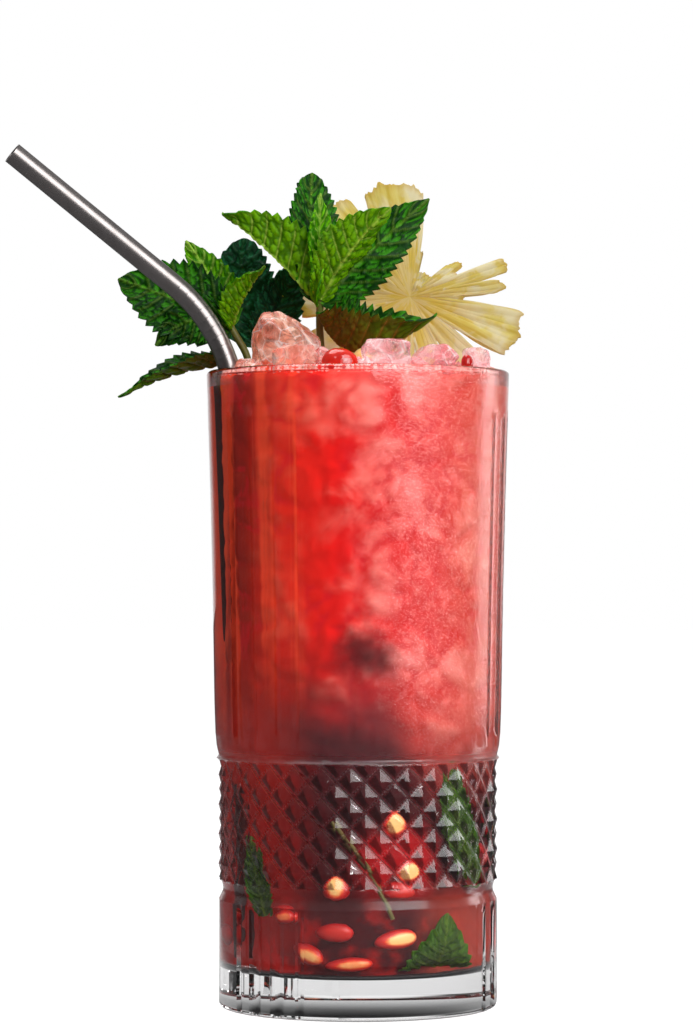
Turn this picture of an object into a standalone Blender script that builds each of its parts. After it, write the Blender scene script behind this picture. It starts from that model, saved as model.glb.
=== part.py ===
"""Hibiscus swizzle: a tall cut glass of iced drink with a straw, mint and a dried pineapple wheel.

The origin is the middle of the flat underside of the glass, +Z is up and -Y is the front.
Every piece is one closed solid. The drink is cut round all that stands in it.
"""
import math
import random
from collections import namedtuple

import bmesh
import bpy
import numpy as np
from mathutils import Matrix, Vector, noise

MM = 0.001
GAP = 0.3 * MM                    # clearance between pieces that touch
MERGE = 0.00002                   # points closer than this are one point

# Glass: a turned blank, cut with a band of diamonds and three groups of flutes
GLASS_HEIGHT = 155.85 * MM
RIM_RADIUS = 37.3 * MM
RIM_WALL = 2.0 * MM
GLASS_COLUMNS = 60                # columns round the blank, two for each diamond
COLUMN_STEP = math.tau / GLASS_COLUMNS
BLANK_TURN = COLUMN_STEP / 2      # turns the blank so that diamonds fall beside the front line
OUTER_WALL = ((37.07, 149.0), (36.85, 142.0), (36.3, 124.0), (35.7, 99.7), (35.25, 72.0), (34.95, 66.5))
WAIST = (34.2, 61.9)
RING = (34.75, 61.0)
BAND_TOP = 60.45 * MM             # height of the highest row of diamond corners
DIAMOND_ROWS = 9
ROW_STEP = 3.63 * MM              # half the height of one diamond
APEX_RADIUS = 34.25 * MM
GROOVE_RADIUS = 33.35 * MM
BELOW_BAND = ((33.7, 31.0), (33.1, 29.0), (34.1, 26.5), (34.1, 3.0))
FOOT_RADIUS = 34.1 * MM
FOOT_ROUND = 1.5 * MM
INNER_WALL = ((31.2, 16.0), (31.7, 58.0), (32.8, 71.0), (33.5, 99.7), (35.0, 149.0))
FLOOR_HEIGHT = 9.5 * MM
FLOOR_ROUND = 5.0 * MM

FLUTE_GROUPS = 3
FLUTE_CENTRE = math.radians(-40.5)         # middle of one group, from the front towards +X
FLUTE_COLUMN = math.radians(-39.0)         # the blank's column that becomes that middle
FLUTE_DEPTH = 0.8 * MM
# What each half column from the middle of a group becomes: degrees from the middle, share of depth
FLUTE_SECTION = ((0.0, 0.0), (2.7, 0.06), (5.85, 1.0), (9.0, 0.06), (11.7, 0.0), (14.4, 0.06), (16.2, 0.8),
                 (18.0, 0.0))
UPPER_FLUTES = (66.0 * MM, 145.0 * MM)
LOWER_FLUTES = (-1.0 * MM, 27.0 * MM)

# Drink: fills the glass to just below the rim and mounds a little with crushed ice
DRINK_LEVEL = 154.3 * MM
DRINK_MOUND = 1.4 * MM
DRINK_BUMPS = 1.2 * MM
BUMP_SCALE = 140.0                # bumps across a metre
DRINK_EDGE = 34.85 * MM           # radius of the surface where it meets the glass
DRINK_STEPS = 30
DRINK_RINGS = (0.93, 0.76, 0.56, 0.35, 0.16)     # rings of the top, as shares of its radius

# Straw: a steel tube with one ribbed bend at the rim
STRAW_RADIUS = 2.65 * MM
STRAW_WALL = 0.45 * MM
STRAW_TIP = (-83.2, -22.0, 207.4)
STRAW_ELBOW = (-35.8, -8.2, 169.1)
STRAW_RIM = (-30.1, -8.8, 152.5)
STRAW_FOOT = (-24.0, -8.5, 12.8)
ELBOW_RADIUS = 38.0 * MM
RIM_BEND_RADIUS = 36.0 * MM
RIM_BEND_STEPS = 5
STRAW_RINGS = 9
RING_DEPTH = 0.07                 # share of the radius by which each ring is pressed in

# Mint: blades grow from a stem, each by its midrib, the way its upper face looks and its two folds
Blade = namedtuple("Blade", "base bend tip face width fold_a fold_b")
BLADE_ROWS = 8
BLADE_COLUMNS = 4
BLADE_THICKNESS = 0.5 * MM
BLADE_TOOTH = 0.07                # share of the half width
BLADE_WAVE = 0.5 * MM
BLADE_WAVES = (11.0, 2.0)         # radians of wave along a blade and across half of it
BLADE_TIP = 0.4 * MM
BLADE_SWELL = 0.78                # below 1 the widest place lies nearer the base
BLADE_ROUNDNESS = 0.6             # below 1 the sides are fuller
BLADE_ENDS = (0.02, 0.985)        # shares of the length where the outline stops narrowing
FLAT_END = 0.2                    # share of the length at each end where the folds open out
BLADE_SQUARENESS = 0.7            # how far its rows stand square to its length, not to its midrib
STEM_RADIUS = 0.9 * MM
FRONT_STEM = ((-8.0, -3.6, 142.0), (-8.8, -4.0, 158.0), (-9.4, -5.4, 167.0), (-9.2, -7.8, 174.5))
FRONT_BLADES = (
    Blade((-9.9, -8.4, 171.4), (-20.5, -7.0, 185.0), (-33.5, -5.0, 194.4), (0.69, 0.1, 0.72), 21.0, 62, 80),
    Blade((-9.2, -7.4, 172.5), (-13.0, 3.0, 190.0), (-11.4, 8.0, 205.7), (0.15, -1.0, 0.1), 15.5, 15, 42),
    Blade((-9.2, -8.2, 173.0), (-10.0, -9.0, 185.0), (-9.3, -6.0, 199.2), (0.5, -0.8, 0.1), 9.5, 30, 30),
    Blade((-9.0, -8.6, 173.0), (-2.0, -13.0, 186.5), (8.1, -9.5, 195.4), (-0.35, 0.75, 0.55), 16.0, 22, 30),
    Blade((-9.0, -7.6, 172.0), (1.0, -4.0, 184.0), (17.6, 1.5, 198.6), (0.1, -0.95, 0.3), 17.0, 14, 14),
    Blade((-9.8, -8.0, 169.8), (-3.0, -10.5, 150.5), (19.3, -12.0, 169.1), (0.0, 0.0, 1.0), 25.0, 50, 84),
)
LEFT_STEM = ((-22.5, 3.0, 140.0), (-25.0, 3.6, 152.0), (-27.8, 4.6, 161.0), (-31.6, 4.6, 167.4))
LEFT_BLADES = (
    Blade((-31.2, 4.4, 166.6), (-29.0, 2.0, 174.0), (-22.7, 1.0, 182.0), (-0.85, 0.0, 0.5), 12.0, 62, 52),
    Blade((-31.4, 4.8, 167.0), (-46.0, 4.5, 175.0), (-59.4, 3.0, 178.9), (0.0, -0.95, 0.3), 21.0, 10, 10),
    Blade((-31.2, 4.6, 166.4), (-41.0, 1.5, 173.0), (-50.0, 0.5, 162.3), (0.1, -0.95, 0.2), 13.0, 8, 8),
    Blade((-31.6, 4.8, 167.2), (-35.0, 9.0, 179.0), (-43.0, 10.0, 189.0), (0.3, -0.95, 0.1), 11.5, 10, 10),
    Blade((-26.4, 4.2, 157.6), (-42.5, 3.4, 158.4), (-59.1, 1.0, 149.4), (0.0, 0.0, 1.0), 15.0, 38, 24),
)
BACK_STEM = ((-18.5, 10.5, 140.0), (-20.0, 10.6, 150.0), (-22.6, 10.8, 158.0), (-24.4, 10.8, 164.0))
BACK_BLADES = (
    Blade((-24.2, 10.8, 162.8), (-31.0, 11.0, 177.0), (-28.5, 13.0, 190.0), (0.05, -1.0, 0.1), 18.0, 16, 16),
    Blade((-24.0, 10.6, 162.4), (-19.5, 9.0, 173.0), (-15.0, 9.5, 184.5), (0.2, -1.0, 0.1), 12.5, 14, 14),
)

# Pineapple: a thin dried wheel whose rim is torn into petals, leaning back over the rim of the glass
WHEEL_CENTRE = (13.0, 14.0, 175.3)
WHEEL_LEAN = math.radians(15.0)
WHEEL_THICKNESS = 1.1 * MM
WHEEL_WAVE = 1.3 * MM             # at WHEEL_RADIUS
WHEEL_RADIUS = 25.0 * MM
WHEEL_WAVES = (3, 8)              # broad waves and small ruffles round the rim
WHEEL_RUFFLE = 0.5                # height of the ruffles as a share of the waves'
WHEEL_COLUMNS = 60
WHEEL_RINGS = (0.3, 0.55, 0.78, 1.0)
# Each petal: its middle and half width in degrees from +X, its length from the centre in mm
WHEEL_PETALS = ((-20, 17, 28.8), (6, 5.5, 23.5), (18.5, 6, 25.5), (36, 5, 15.8), (98, 20, 30.4),
                (129, 12, 31.0), (154, 12, 28.5), (181, 13, 28.0), (208, 12, 27.0), (234, 12, 28.0),
                (261, 13, 27.5), (288, 12, 28.0), (312, 10, 26.5))
PETAL_ROUND = 0.12                # share of its length that a petal loses towards its sides
WHEEL_NOTCH = 13.0                # how far the notches between petals reach in, mm from the centre
WHEEL_CORE = 7.0                  # the wide notch on the right reaches in further
CORE_NOTCH = (42.0, 75.0)         # where it is, in degrees from +X

# Ice chunks above the drink: middle, size, turn about Z in degrees, seed
IceChunk = namedtuple("IceChunk", "centre size turn seed")
ICE_CHUNKS = (
    IceChunk((-17.4, -12.4, 161.4), (16.5, 14.0, 16.5), 12, 11),
    IceChunk((-15.4, -26.4, 157.4), (11.0, 7.0, 8.2), -14, 23),
    IceChunk((6.9, -23.4, 158.0), (12.4, 7.8, 9.6), 8, 31),
    IceChunk((18.3, -16.6, 157.4), (12.4, 7.4, 8.2), -12, 47),
    IceChunk((28.8, -8.0, 157.2), (6.4, 6.6, 8.6), 20, 53),
    IceChunk((-8.9, -21.4, 158.0), (4.4, 4.0, 5.6), 35, 61),
)
ICE_POINTS = 26
ICE_BALL = 1.25                   # radius of the ball that rounds a block's corners, in half sizes
ICE_ROUNDNESS = 0.45              # 0 a block, 1 a ball
ICE_BROKEN = 0.86                 # how far in its points may lie
ICE_GAP = 1.3 * GAP

# Pomegranate arils and a pale kernel among the ice: middle, size, turn about Z in degrees
Aril = namedtuple("Aril", "name centre size turn")
ARILS = (
    Aril("aril_large", (-4.3, -27.6, 156.8), (9.6, 6.8, 7.6), 4),
    Aril("aril_pale", (1.2, -16.4, 158.3), (5.4, 4.6, 5.6), -20),
    Aril("aril_small", (26.4, -19.0, 156.8), (3.4, 3.2, 4.8), 30),
)
ARIL_SIDES = 10
ARIL_ROWS = 6
ARIL_POINT = 0.25                 # how far the end of an aril is drawn out

GLASS_COLOUR = (0.92, 0.94, 0.95)
DRINK_COLOUR = (0.62, 0.10, 0.08)
STEEL_COLOUR = (0.62, 0.60, 0.58)
MINT_COLOUR = (0.09, 0.22, 0.04)
OLD_MINT_COLOUR = (0.02, 0.07, 0.03)
PINEAPPLE_COLOUR = (0.85, 0.72, 0.28)
ICE_COLOUR = (0.90, 0.62, 0.60)
ARIL_COLOUR = (0.62, 0.02, 0.02)
PALE_ARIL_COLOUR = (0.86, 0.55, 0.22)


def mm(point):
    """A point given in millimetres, in metres."""
    return Vector(point) * MM


def clear_scene():
    for obj in list(bpy.data.objects):
        bpy.data.objects.remove(obj, do_unlink=True)


def new_collection(name):
    collection = bpy.data.collections.new(name)
    bpy.context.scene.collection.children.link(collection)
    return collection


def add_object(name, mesh, collection):
    obj = bpy.data.objects.new(name, mesh)
    collection.objects.link(obj)
    return obj


def add_cutter(name, mesh, collection):
    cutter = add_object(name, mesh, collection)
    cutter.hide_render = True
    cutter.display_type = 'WIRE'
    return cutter


def evaluated_mesh(obj):
    """A new mesh of the object with its modifiers applied, in its own space."""
    depsgraph = bpy.context.evaluated_depsgraph_get()
    return bpy.data.meshes.new_from_object(obj.evaluated_get(depsgraph))


def apply_modifiers(obj):
    mesh = evaluated_mesh(obj)
    obj.modifiers.clear()
    obj.data = mesh


def give_material(obj, name, colour, roughness, metallic=0.0, transmission=0.0):
    material = bpy.data.materials.new(name)
    material.use_nodes = True
    shader = material.node_tree.nodes["Principled BSDF"]
    shader.inputs["Base Color"].default_value = (*colour, 1.0)
    shader.inputs["Roughness"].default_value = roughness
    shader.inputs["Metallic"].default_value = metallic
    shader.inputs["Transmission Weight"].default_value = transmission
    obj.data.materials.append(material)


def smooth(obj, angle_degrees=30.0):
    obj.data.shade_smooth()
    obj.data.set_sharp_from_angle(angle=math.radians(angle_degrees))


def arc_points(centre, radius, start_degrees, end_degrees, steps):
    """Points (radius, height) along an arc of a turned profile."""
    points = []
    for step in range(steps + 1):
        angle = math.radians(start_degrees + (end_degrees - start_degrees) * step / steps)
        points.append((centre[0] + radius * math.cos(angle), centre[1] + radius * math.sin(angle)))
    return points


def turned_object(name, profile, steps, collection):
    """A solid turned about Z from a profile that runs up its inside and down its outside."""
    mesh = bpy.data.meshes.new(name)
    edges = [(i, i + 1) for i in range(len(profile) - 1)]
    mesh.from_pydata([(radius, 0.0, height) for radius, height in profile], edges, [])
    obj = add_object(name, mesh, collection)
    screw = obj.modifiers.new("turn", 'SCREW')
    screw.axis = 'Z'
    screw.steps = steps
    screw.render_steps = steps
    screw.use_merge_vertices = True
    screw.merge_threshold = MERGE
    apply_modifiers(obj)
    return obj


# ---------------------------------------------------------------- glass

def inner_profile(inset):
    """The inside of the glass from the middle of the floor up to the lip, moved in by inset."""
    corner_radius = INNER_WALL[0][0] * MM - inset
    round_radius = FLOOR_ROUND - inset
    corner = (corner_radius - round_radius, FLOOR_HEIGHT + inset + round_radius)
    points = [(0.0, FLOOR_HEIGHT + inset)]
    points += arc_points(corner, round_radius, -90.0, 0.0, 4)
    points += [(radius * MM - inset, height * MM) for radius, height in INNER_WALL]
    return points


def glass_profile():
    lip_radius = RIM_WALL / 2
    lip_centre = (RIM_RADIUS - lip_radius, GLASS_HEIGHT - lip_radius)
    foot_centre = (FOOT_RADIUS - FOOT_ROUND, FOOT_ROUND)
    points = inner_profile(0.0)
    points += arc_points(lip_centre, lip_radius, 180.0, 0.0, 4)
    points += [(radius * MM, height * MM) for radius, height in OUTER_WALL + (WAIST, RING)]
    points += [(GROOVE_RADIUS, BAND_TOP - row * ROW_STEP) for row in range(DIAMOND_ROWS)]
    points += [(radius * MM, height * MM) for radius, height in BELOW_BAND]
    points += arc_points(foot_centre, FOOT_ROUND, 0.0, -90.0, 2)
    points.append((0.0, 0.0))
    return points


def front_angle(point):
    """Angle of a point round the glass, 0 at the front and growing towards +X."""
    return math.atan2(point.x, -point.y)


def place_round(vert, radius, angle):
    vert.co.x = radius * math.sin(angle)
    vert.co.y = -radius * math.cos(angle)


def is_outer(point):
    """Whether a point of the glass lies outside the middle of its wall."""
    radii, heights = zip(*INNER_WALL)
    inner_radius = np.interp(point.z / MM, heights, radii) * MM
    return math.hypot(point.x, point.y) > inner_radius + RIM_WALL / 2


def cut_diamonds(bm):
    """Push every second corner of the band out to a point, and split its faces along the grooves."""
    band_end = BAND_TOP - (DIAMOND_ROWS - 1) * ROW_STEP
    band = []
    for vert in bm.verts:
        if not is_outer(vert.co) or not band_end - GAP < vert.co.z < BAND_TOP + GAP:
            continue
        row = round((BAND_TOP - vert.co.z) / ROW_STEP)
        angle = front_angle(vert.co)
        column = round((angle - BLANK_TURN) / COLUMN_STEP)
        radius = APEX_RADIUS if (row + column) % 2 == 0 else GROOVE_RADIUS
        place_round(vert, radius, angle)
        band.append(vert)
    inside = set(band)
    faces = [face for face in bm.faces if all(vert in inside for vert in face.verts)]
    bmesh.ops.triangulate(bm, faces=faces, quad_method='SHORT_EDGE')


def flute_slot(angle):
    """Nearest flute group's middle and the half columns from it to an angle."""
    pitch = math.tau / FLUTE_GROUPS
    turns = round((angle - FLUTE_COLUMN) / pitch)
    offset = angle - FLUTE_COLUMN - turns * pitch
    return FLUTE_CENTRE + turns * pitch, round(offset / (COLUMN_STEP / 2))


def in_flutes(height):
    return any(low < height < high for low, high in (UPPER_FLUTES, LOWER_FLUTES))


def press_flutes(bm):
    """Split the walls' rings beside each group, then move the new columns to the flutes' section."""
    reach = len(FLUTE_SECTION)
    ring_radius = {}
    for vert in bm.verts:
        height = round(vert.co.z / MERGE)
        ring_radius[height] = max(ring_radius.get(height, 0.0), math.hypot(vert.co.x, vert.co.y))
    rings = []
    for edge in bm.edges:
        low, high = (vert.co for vert in edge.verts)
        middle = (low + high) / 2
        level = abs(low.z - high.z) < MERGE
        if level and is_outer(middle) and in_flutes(middle.z):
            if abs(flute_slot(front_angle(middle))[1]) < reach:
                rings.append(edge)
    bmesh.ops.subdivide_edges(bm, edges=rings, cuts=1)
    wall = [vert for vert in bm.verts if is_outer(vert.co) and in_flutes(vert.co.z)]
    for vert in wall:
        centre, slot = flute_slot(front_angle(vert.co))
        if abs(slot) >= reach:
            continue
        turn, share = FLUTE_SECTION[abs(slot)]
        angle = centre + math.copysign(math.radians(turn), slot)
        radius = ring_radius[round(vert.co.z / MERGE)] - share * FLUTE_DEPTH
        place_round(vert, radius, angle)


def make_glass(parts):
    glass = turned_object("glass", glass_profile(), GLASS_COLUMNS, parts)
    bm = bmesh.new()
    bm.from_mesh(glass.data)
    bmesh.ops.rotate(bm, verts=bm.verts, cent=(0, 0, 0), matrix=Matrix.Rotation(BLANK_TURN, 3, 'Z'))
    cut_diamonds(bm)
    press_flutes(bm)
    bm.to_mesh(glass.data)
    bm.free()
    smooth(glass, 20.0)
    give_material(glass, "clear_glass", GLASS_COLOUR, 0.05, transmission=1.0)
    return glass


# ---------------------------------------------------------------- straw

def filleted_path(corners, bends):
    """A path through corners, each inner corner rounded by its bend's radius in its number of steps."""
    path = [corners[0]]
    for before, corner, after, (radius, arc_steps) in zip(corners, corners[1:], corners[2:], bends):
        back = (before - corner).normalized()
        ahead = (after - corner).normalized()
        half_turn = (math.pi - back.angle(ahead)) / 2
        tangent = radius * math.tan(half_turn)
        centre = corner + (back + ahead).normalized() * (radius / math.cos(half_turn))
        start = corner + back * tangent - centre
        end = corner + ahead * tangent - centre
        axis = start.cross(end).normalized()
        for step in range(arc_steps + 1):
            turn = Matrix.Rotation(2 * half_turn * step / arc_steps, 3, axis)
            path.append(centre + turn @ start)
    path.append(corners[-1])
    return path


def straw_path():
    corners = [mm(point) for point in (STRAW_TIP, STRAW_ELBOW, STRAW_RIM, STRAW_FOOT)]
    bends = ((ELBOW_RADIUS, 2 * STRAW_RINGS), (RIM_BEND_RADIUS, RIM_BEND_STEPS))
    return filleted_path(corners, bends)


def tube_mesh(name, path, radius, thinning, capped):
    """The mesh of a tube along a path; thinning gives the share taken off the radius at each point."""
    curve = bpy.data.curves.new(name, 'CURVE')
    curve.dimensions = '3D'
    curve.bevel_depth = radius
    curve.bevel_resolution = 2
    curve.use_fill_caps = capped
    spline = curve.splines.new('POLY')
    spline.points.add(len(path) - 1)
    for point, place, share in zip(spline.points, path, thinning):
        point.co = (*place, 1.0)
        point.radius = 1.0 - share
    guide = add_object(name, curve, bpy.context.scene.collection)
    mesh = evaluated_mesh(guide)
    bpy.data.objects.remove(guide, do_unlink=True)
    bm = bmesh.new()
    bm.from_mesh(mesh)
    bmesh.ops.remove_doubles(bm, verts=bm.verts, dist=MERGE)
    bm.to_mesh(mesh)
    bm.free()
    return mesh


def make_straw(parts):
    path = straw_path()
    in_elbow = range(1, 2 * STRAW_RINGS + 2)
    thinning = [RING_DEPTH if i in in_elbow and i % 2 == 0 else 0.0 for i in range(len(path))]
    straw = add_object("straw", tube_mesh("straw", path, STRAW_RADIUS, thinning, False), parts)
    wall = straw.modifiers.new("wall", 'SOLIDIFY')
    wall.thickness = STRAW_WALL
    wall.offset = -1.0
    smooth(straw, 40.0)
    give_material(straw, "polished_steel", STEEL_COLOUR, 0.2, metallic=1.0)
    return straw


# ---------------------------------------------------------------- mint

def bezier(blade, share):
    base, bend, tip = (mm(point) for point in (blade.base, blade.bend, blade.tip))
    return base.lerp(bend, share).lerp(bend.lerp(tip, share), share)


def blade_frame(blade, share):
    """Along, across and face directions of a blade at a share of its midrib."""
    base, bend, tip = (mm(point) for point in (blade.base, blade.bend, blade.tip))
    midrib = (bend.lerp(tip, share) - base.lerp(bend, share)).normalized()
    along = midrib.lerp((tip - base).normalized(), BLADE_SQUARENESS).normalized()
    across = along.cross(Vector(blade.face)).normalized()
    return along, across, across.cross(along)


def blade_half_width(blade, share):
    """Ovate outline, widest below the middle, from a narrow stalk to a point."""
    low, high = BLADE_ENDS
    swell = math.sin(math.pi * min(max(share, low), high) ** BLADE_SWELL) ** BLADE_ROUNDNESS
    return max(blade.width / 2 * MM * swell, BLADE_TIP)


def shape_blade(bm, blade):
    """Move a flat grid, -1 to 1 both ways, onto the folded, toothed and waved blade."""
    for vert in bm.verts:
        share = (vert.co.x + 1) / 2
        side = vert.co.y
        row = round(share * BLADE_ROWS)
        half_width = blade_half_width(blade, share)
        if abs(side) > 0.99 and 0 < row < BLADE_ROWS:
            half_width *= 1 + BLADE_TOOTH * (-1) ** row
        along, across, face = blade_frame(blade, share)
        folded = min(1.0, share / FLAT_END, (1 - share) / FLAT_END)
        fold = math.radians(blade.fold_a if side > 0 else blade.fold_b) * folded
        reach = across * math.copysign(math.cos(fold), side) + face * math.sin(fold)
        ripple = math.sin(share * BLADE_WAVES[0] + side * BLADE_WAVES[1]) * math.sin(math.pi * share)
        lift = reach.cross(along) * math.copysign(BLADE_WAVE * ripple * side ** 2, side)
        vert.co = bezier(blade, share) + reach * (abs(side) * half_width) + lift


def blade_mesh(name, blade):
    bm = bmesh.new()
    bmesh.ops.create_grid(bm, x_segments=BLADE_ROWS, y_segments=BLADE_COLUMNS, size=1.0)
    shape_blade(bm, blade)
    bmesh.ops.triangulate(bm, faces=bm.faces)
    mesh = bpy.data.meshes.new(name)
    bm.to_mesh(mesh)
    bm.free()
    return mesh


def stem_path(points):
    """The stem's centre line, with two points between each pair."""
    path = [mm(points[0])]
    for low, high in zip(points, points[1:]):
        path += [mm(low).lerp(mm(high), share) for share in (0.5, 1.0)]
    return path


def make_sprig(name, stem_points, blades, colour, parts):
    """A stem with its blades grown into it as one solid."""
    path = stem_path(stem_points)
    sprig = add_object(name, tube_mesh(name, path, STEM_RADIUS, [0.0] * len(path), True), parts)
    grown = new_collection(name + "_blades")
    for index, blade in enumerate(blades, 1):
        leaf = add_object(f"{name}_blade_{index}", blade_mesh(name, blade), grown)
        body = leaf.modifiers.new("body", 'SOLIDIFY')
        body.thickness = BLADE_THICKNESS
        body.offset = 0.0
        apply_modifiers(leaf)
    union = sprig.modifiers.new("grown", 'BOOLEAN')
    union.operation = 'UNION'
    union.operand_type = 'COLLECTION'
    union.collection = grown
    union.solver = 'EXACT'
    apply_modifiers(sprig)
    for leaf in list(grown.objects):
        bpy.data.objects.remove(leaf, do_unlink=True)
    bpy.data.collections.remove(grown)
    smooth(sprig)
    give_material(sprig, name + "_green", colour, 0.5)
    return sprig


# ---------------------------------------------------------------- pineapple

def petal_reach(angle_degrees):
    """How far the wheel reaches at an angle: a petal's length or the notch between two."""
    low, high = CORE_NOTCH
    reach = WHEEL_CORE if low < angle_degrees % 360 < high else WHEEL_NOTCH
    for middle, half_width, length in WHEEL_PETALS:
        off = abs((angle_degrees - middle + 180) % 360 - 180) / half_width
        if off <= 1.0:
            reach = max(reach, length * (1 - PETAL_ROUND * off ** 3))
    return reach


def wheel_point(angle, share, grow):
    """A point of the wheel's middle surface, at a share of its reach, in its own plane."""
    reach = petal_reach(math.degrees(angle)) * MM + grow
    radius = share * reach
    out = radius / WHEEL_RADIUS
    waves, ruffles = WHEEL_WAVES
    wave = WHEEL_WAVE * out * math.sin(waves * angle + 1.0)
    ruffle = WHEEL_WAVE * WHEEL_RUFFLE * out ** 2 * math.sin(ruffles * angle)
    return Vector((radius * math.cos(angle), -(wave + ruffle), radius * math.sin(angle)))


def wheel_mesh(name, grow, thickness):
    """The wheel as a disc of rings round its centre, thickened both ways."""
    bm = bmesh.new()
    bmesh.ops.create_circle(bm, cap_ends=True, cap_tris=True, segments=WHEEL_COLUMNS, radius=1.0)
    for share in WHEEL_RINGS[1:]:
        rim = [edge for edge in bm.edges if edge.is_boundary]
        grown = bmesh.ops.extrude_edge_only(bm, edges=rim)["geom"]
        for vert in (item for item in grown if isinstance(item, bmesh.types.BMVert)):
            vert.co = vert.co.normalized() * (share / WHEEL_RINGS[0])
    for vert in bm.verts:
        angle = math.atan2(vert.co.y, vert.co.x)
        vert.co = wheel_point(angle, vert.co.length * WHEEL_RINGS[0], grow)
    lean = Matrix.Rotation(-WHEEL_LEAN, 4, 'X')
    bmesh.ops.transform(bm, matrix=Matrix.Translation(mm(WHEEL_CENTRE)) @ lean, verts=bm.verts)
    bmesh.ops.triangulate(bm, faces=bm.faces)
    mesh = bpy.data.meshes.new(name)
    bm.to_mesh(mesh)
    bm.free()
    wheel = add_object(name, mesh, bpy.context.scene.collection)
    body = wheel.modifiers.new("body", 'SOLIDIFY')
    body.thickness = thickness
    body.offset = 0.0
    solid = evaluated_mesh(wheel)
    bpy.data.objects.remove(wheel, do_unlink=True)
    return solid


def make_pineapple(parts):
    wheel = add_object("pineapple_wheel", wheel_mesh("pineapple_wheel", 0.0, WHEEL_THICKNESS), parts)
    smooth(wheel)
    give_material(wheel, "dried_pineapple", PINEAPPLE_COLOUR, 0.6)
    return wheel


# ---------------------------------------------------------------- ice and arils

def ice_mesh(name, chunk, grow):
    """A chunk broken from clear ice: the hull of seeded points on a rounded block."""
    draw = random.Random(chunk.seed)
    half = mm(chunk.size) / 2
    scale = 1 + grow / min(half)
    bm = bmesh.new()
    for _ in range(ICE_POINTS):
        way = Vector([draw.uniform(-1, 1) for _ in range(3)])
        block = way / max(abs(value) for value in way)
        place = block.lerp(way.normalized() * ICE_BALL, ICE_ROUNDNESS)
        corner = [size * value * draw.uniform(ICE_BROKEN, 1.0) for size, value in zip(half, place)]
        bm.verts.new(Vector(corner) * scale)
    hull = bmesh.ops.convex_hull(bm, input=bm.verts)
    inside = hull["geom_interior"] + hull["geom_unused"]
    loose = {item for item in inside if isinstance(item, bmesh.types.BMVert)}
    bmesh.ops.delete(bm, geom=list(loose), context='VERTS')
    place = Matrix.Translation(mm(chunk.centre)) @ Matrix.Rotation(math.radians(chunk.turn), 4, 'Z')
    bmesh.ops.transform(bm, matrix=place, verts=bm.verts)
    bmesh.ops.recalc_face_normals(bm, faces=bm.faces)
    mesh = bpy.data.meshes.new(name)
    bm.to_mesh(mesh)
    bm.free()
    return mesh


def make_ice(parts):
    for index, chunk in enumerate(ICE_CHUNKS, 1):
        ice = add_object(f"ice_{index}", ice_mesh(f"ice_{index}", chunk, 0.0), parts)
        give_material(ice, f"ice_{index}", ICE_COLOUR, 0.3, transmission=0.5)


def aril_mesh(name, aril, grow):
    """A plump seed, drawn out to a blunt point at one end."""
    half = mm(aril.size) / 2 + Vector((grow, grow, grow))
    bm = bmesh.new()
    bmesh.ops.create_uvsphere(bm, u_segments=ARIL_SIDES, v_segments=ARIL_ROWS, radius=1.0)
    for vert in bm.verts:
        slim = 1 - ARIL_POINT * (1 + vert.co.x) / 2
        vert.co = (half.x * vert.co.x, half.y * vert.co.y * slim, half.z * vert.co.z * slim)
    place = Matrix.Translation(mm(aril.centre)) @ Matrix.Rotation(math.radians(aril.turn), 4, 'Z')
    bmesh.ops.transform(bm, matrix=place, verts=bm.verts)
    mesh = bpy.data.meshes.new(name)
    bm.to_mesh(mesh)
    bm.free()
    return mesh


def make_arils(parts):
    for aril in ARILS:
        seed = add_object(aril.name, aril_mesh(aril.name, aril, 0.0), parts)
        smooth(seed, 60.0)
        colour = PALE_ARIL_COLOUR if aril.name == "aril_pale" else ARIL_COLOUR
        give_material(seed, aril.name, colour, 0.2)


# ---------------------------------------------------------------- drink

def drink_profile():
    points = inner_profile(GAP)
    points.append((DRINK_EDGE, DRINK_LEVEL))
    points += [(DRINK_EDGE * share, DRINK_LEVEL) for share in DRINK_RINGS]
    points.append((0.0, DRINK_LEVEL))
    return points[::-1]


def heap_top(bm):
    """Raise the middle of the surface and dimple it as crushed ice does."""
    for vert in bm.verts:
        radius = math.hypot(vert.co.x, vert.co.y)
        if vert.co.z < DRINK_LEVEL - MERGE or radius > DRINK_EDGE - GAP:
            continue
        bump = noise.noise(vert.co * BUMP_SCALE) * DRINK_BUMPS
        vert.co.z += DRINK_MOUND * (1 - (radius / DRINK_EDGE) ** 2) + bump


def drink_cutters(cutters):
    """Every piece that stands in the drink, grown by the clearance."""
    path = straw_path()
    tube = tube_mesh("straw_hole", path, STRAW_RADIUS + GAP, [0.0] * len(path), True)
    add_cutter("straw_hole", tube, cutters)
    stems = {"front": FRONT_STEM, "left": LEFT_STEM, "back": BACK_STEM}
    for side, points in stems.items():
        path = stem_path(points)
        path[0] -= (path[1] - path[0]).normalized() * GAP
        name = f"{side}_stem_hole"
        add_cutter(name, tube_mesh(name, path, STEM_RADIUS + GAP, [0.0] * len(path), True), cutters)
    wheel = wheel_mesh("wheel_slot", GAP, WHEEL_THICKNESS + 2 * GAP)
    add_cutter("wheel_slot", wheel, cutters)
    for index, chunk in enumerate(ICE_CHUNKS, 1):
        add_cutter(f"ice_{index}_hole", ice_mesh("ice_hole", chunk, ICE_GAP), cutters)
    for aril in ARILS:
        add_cutter(f"{aril.name}_hole", aril_mesh("aril_hole", aril, GAP), cutters)


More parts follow.
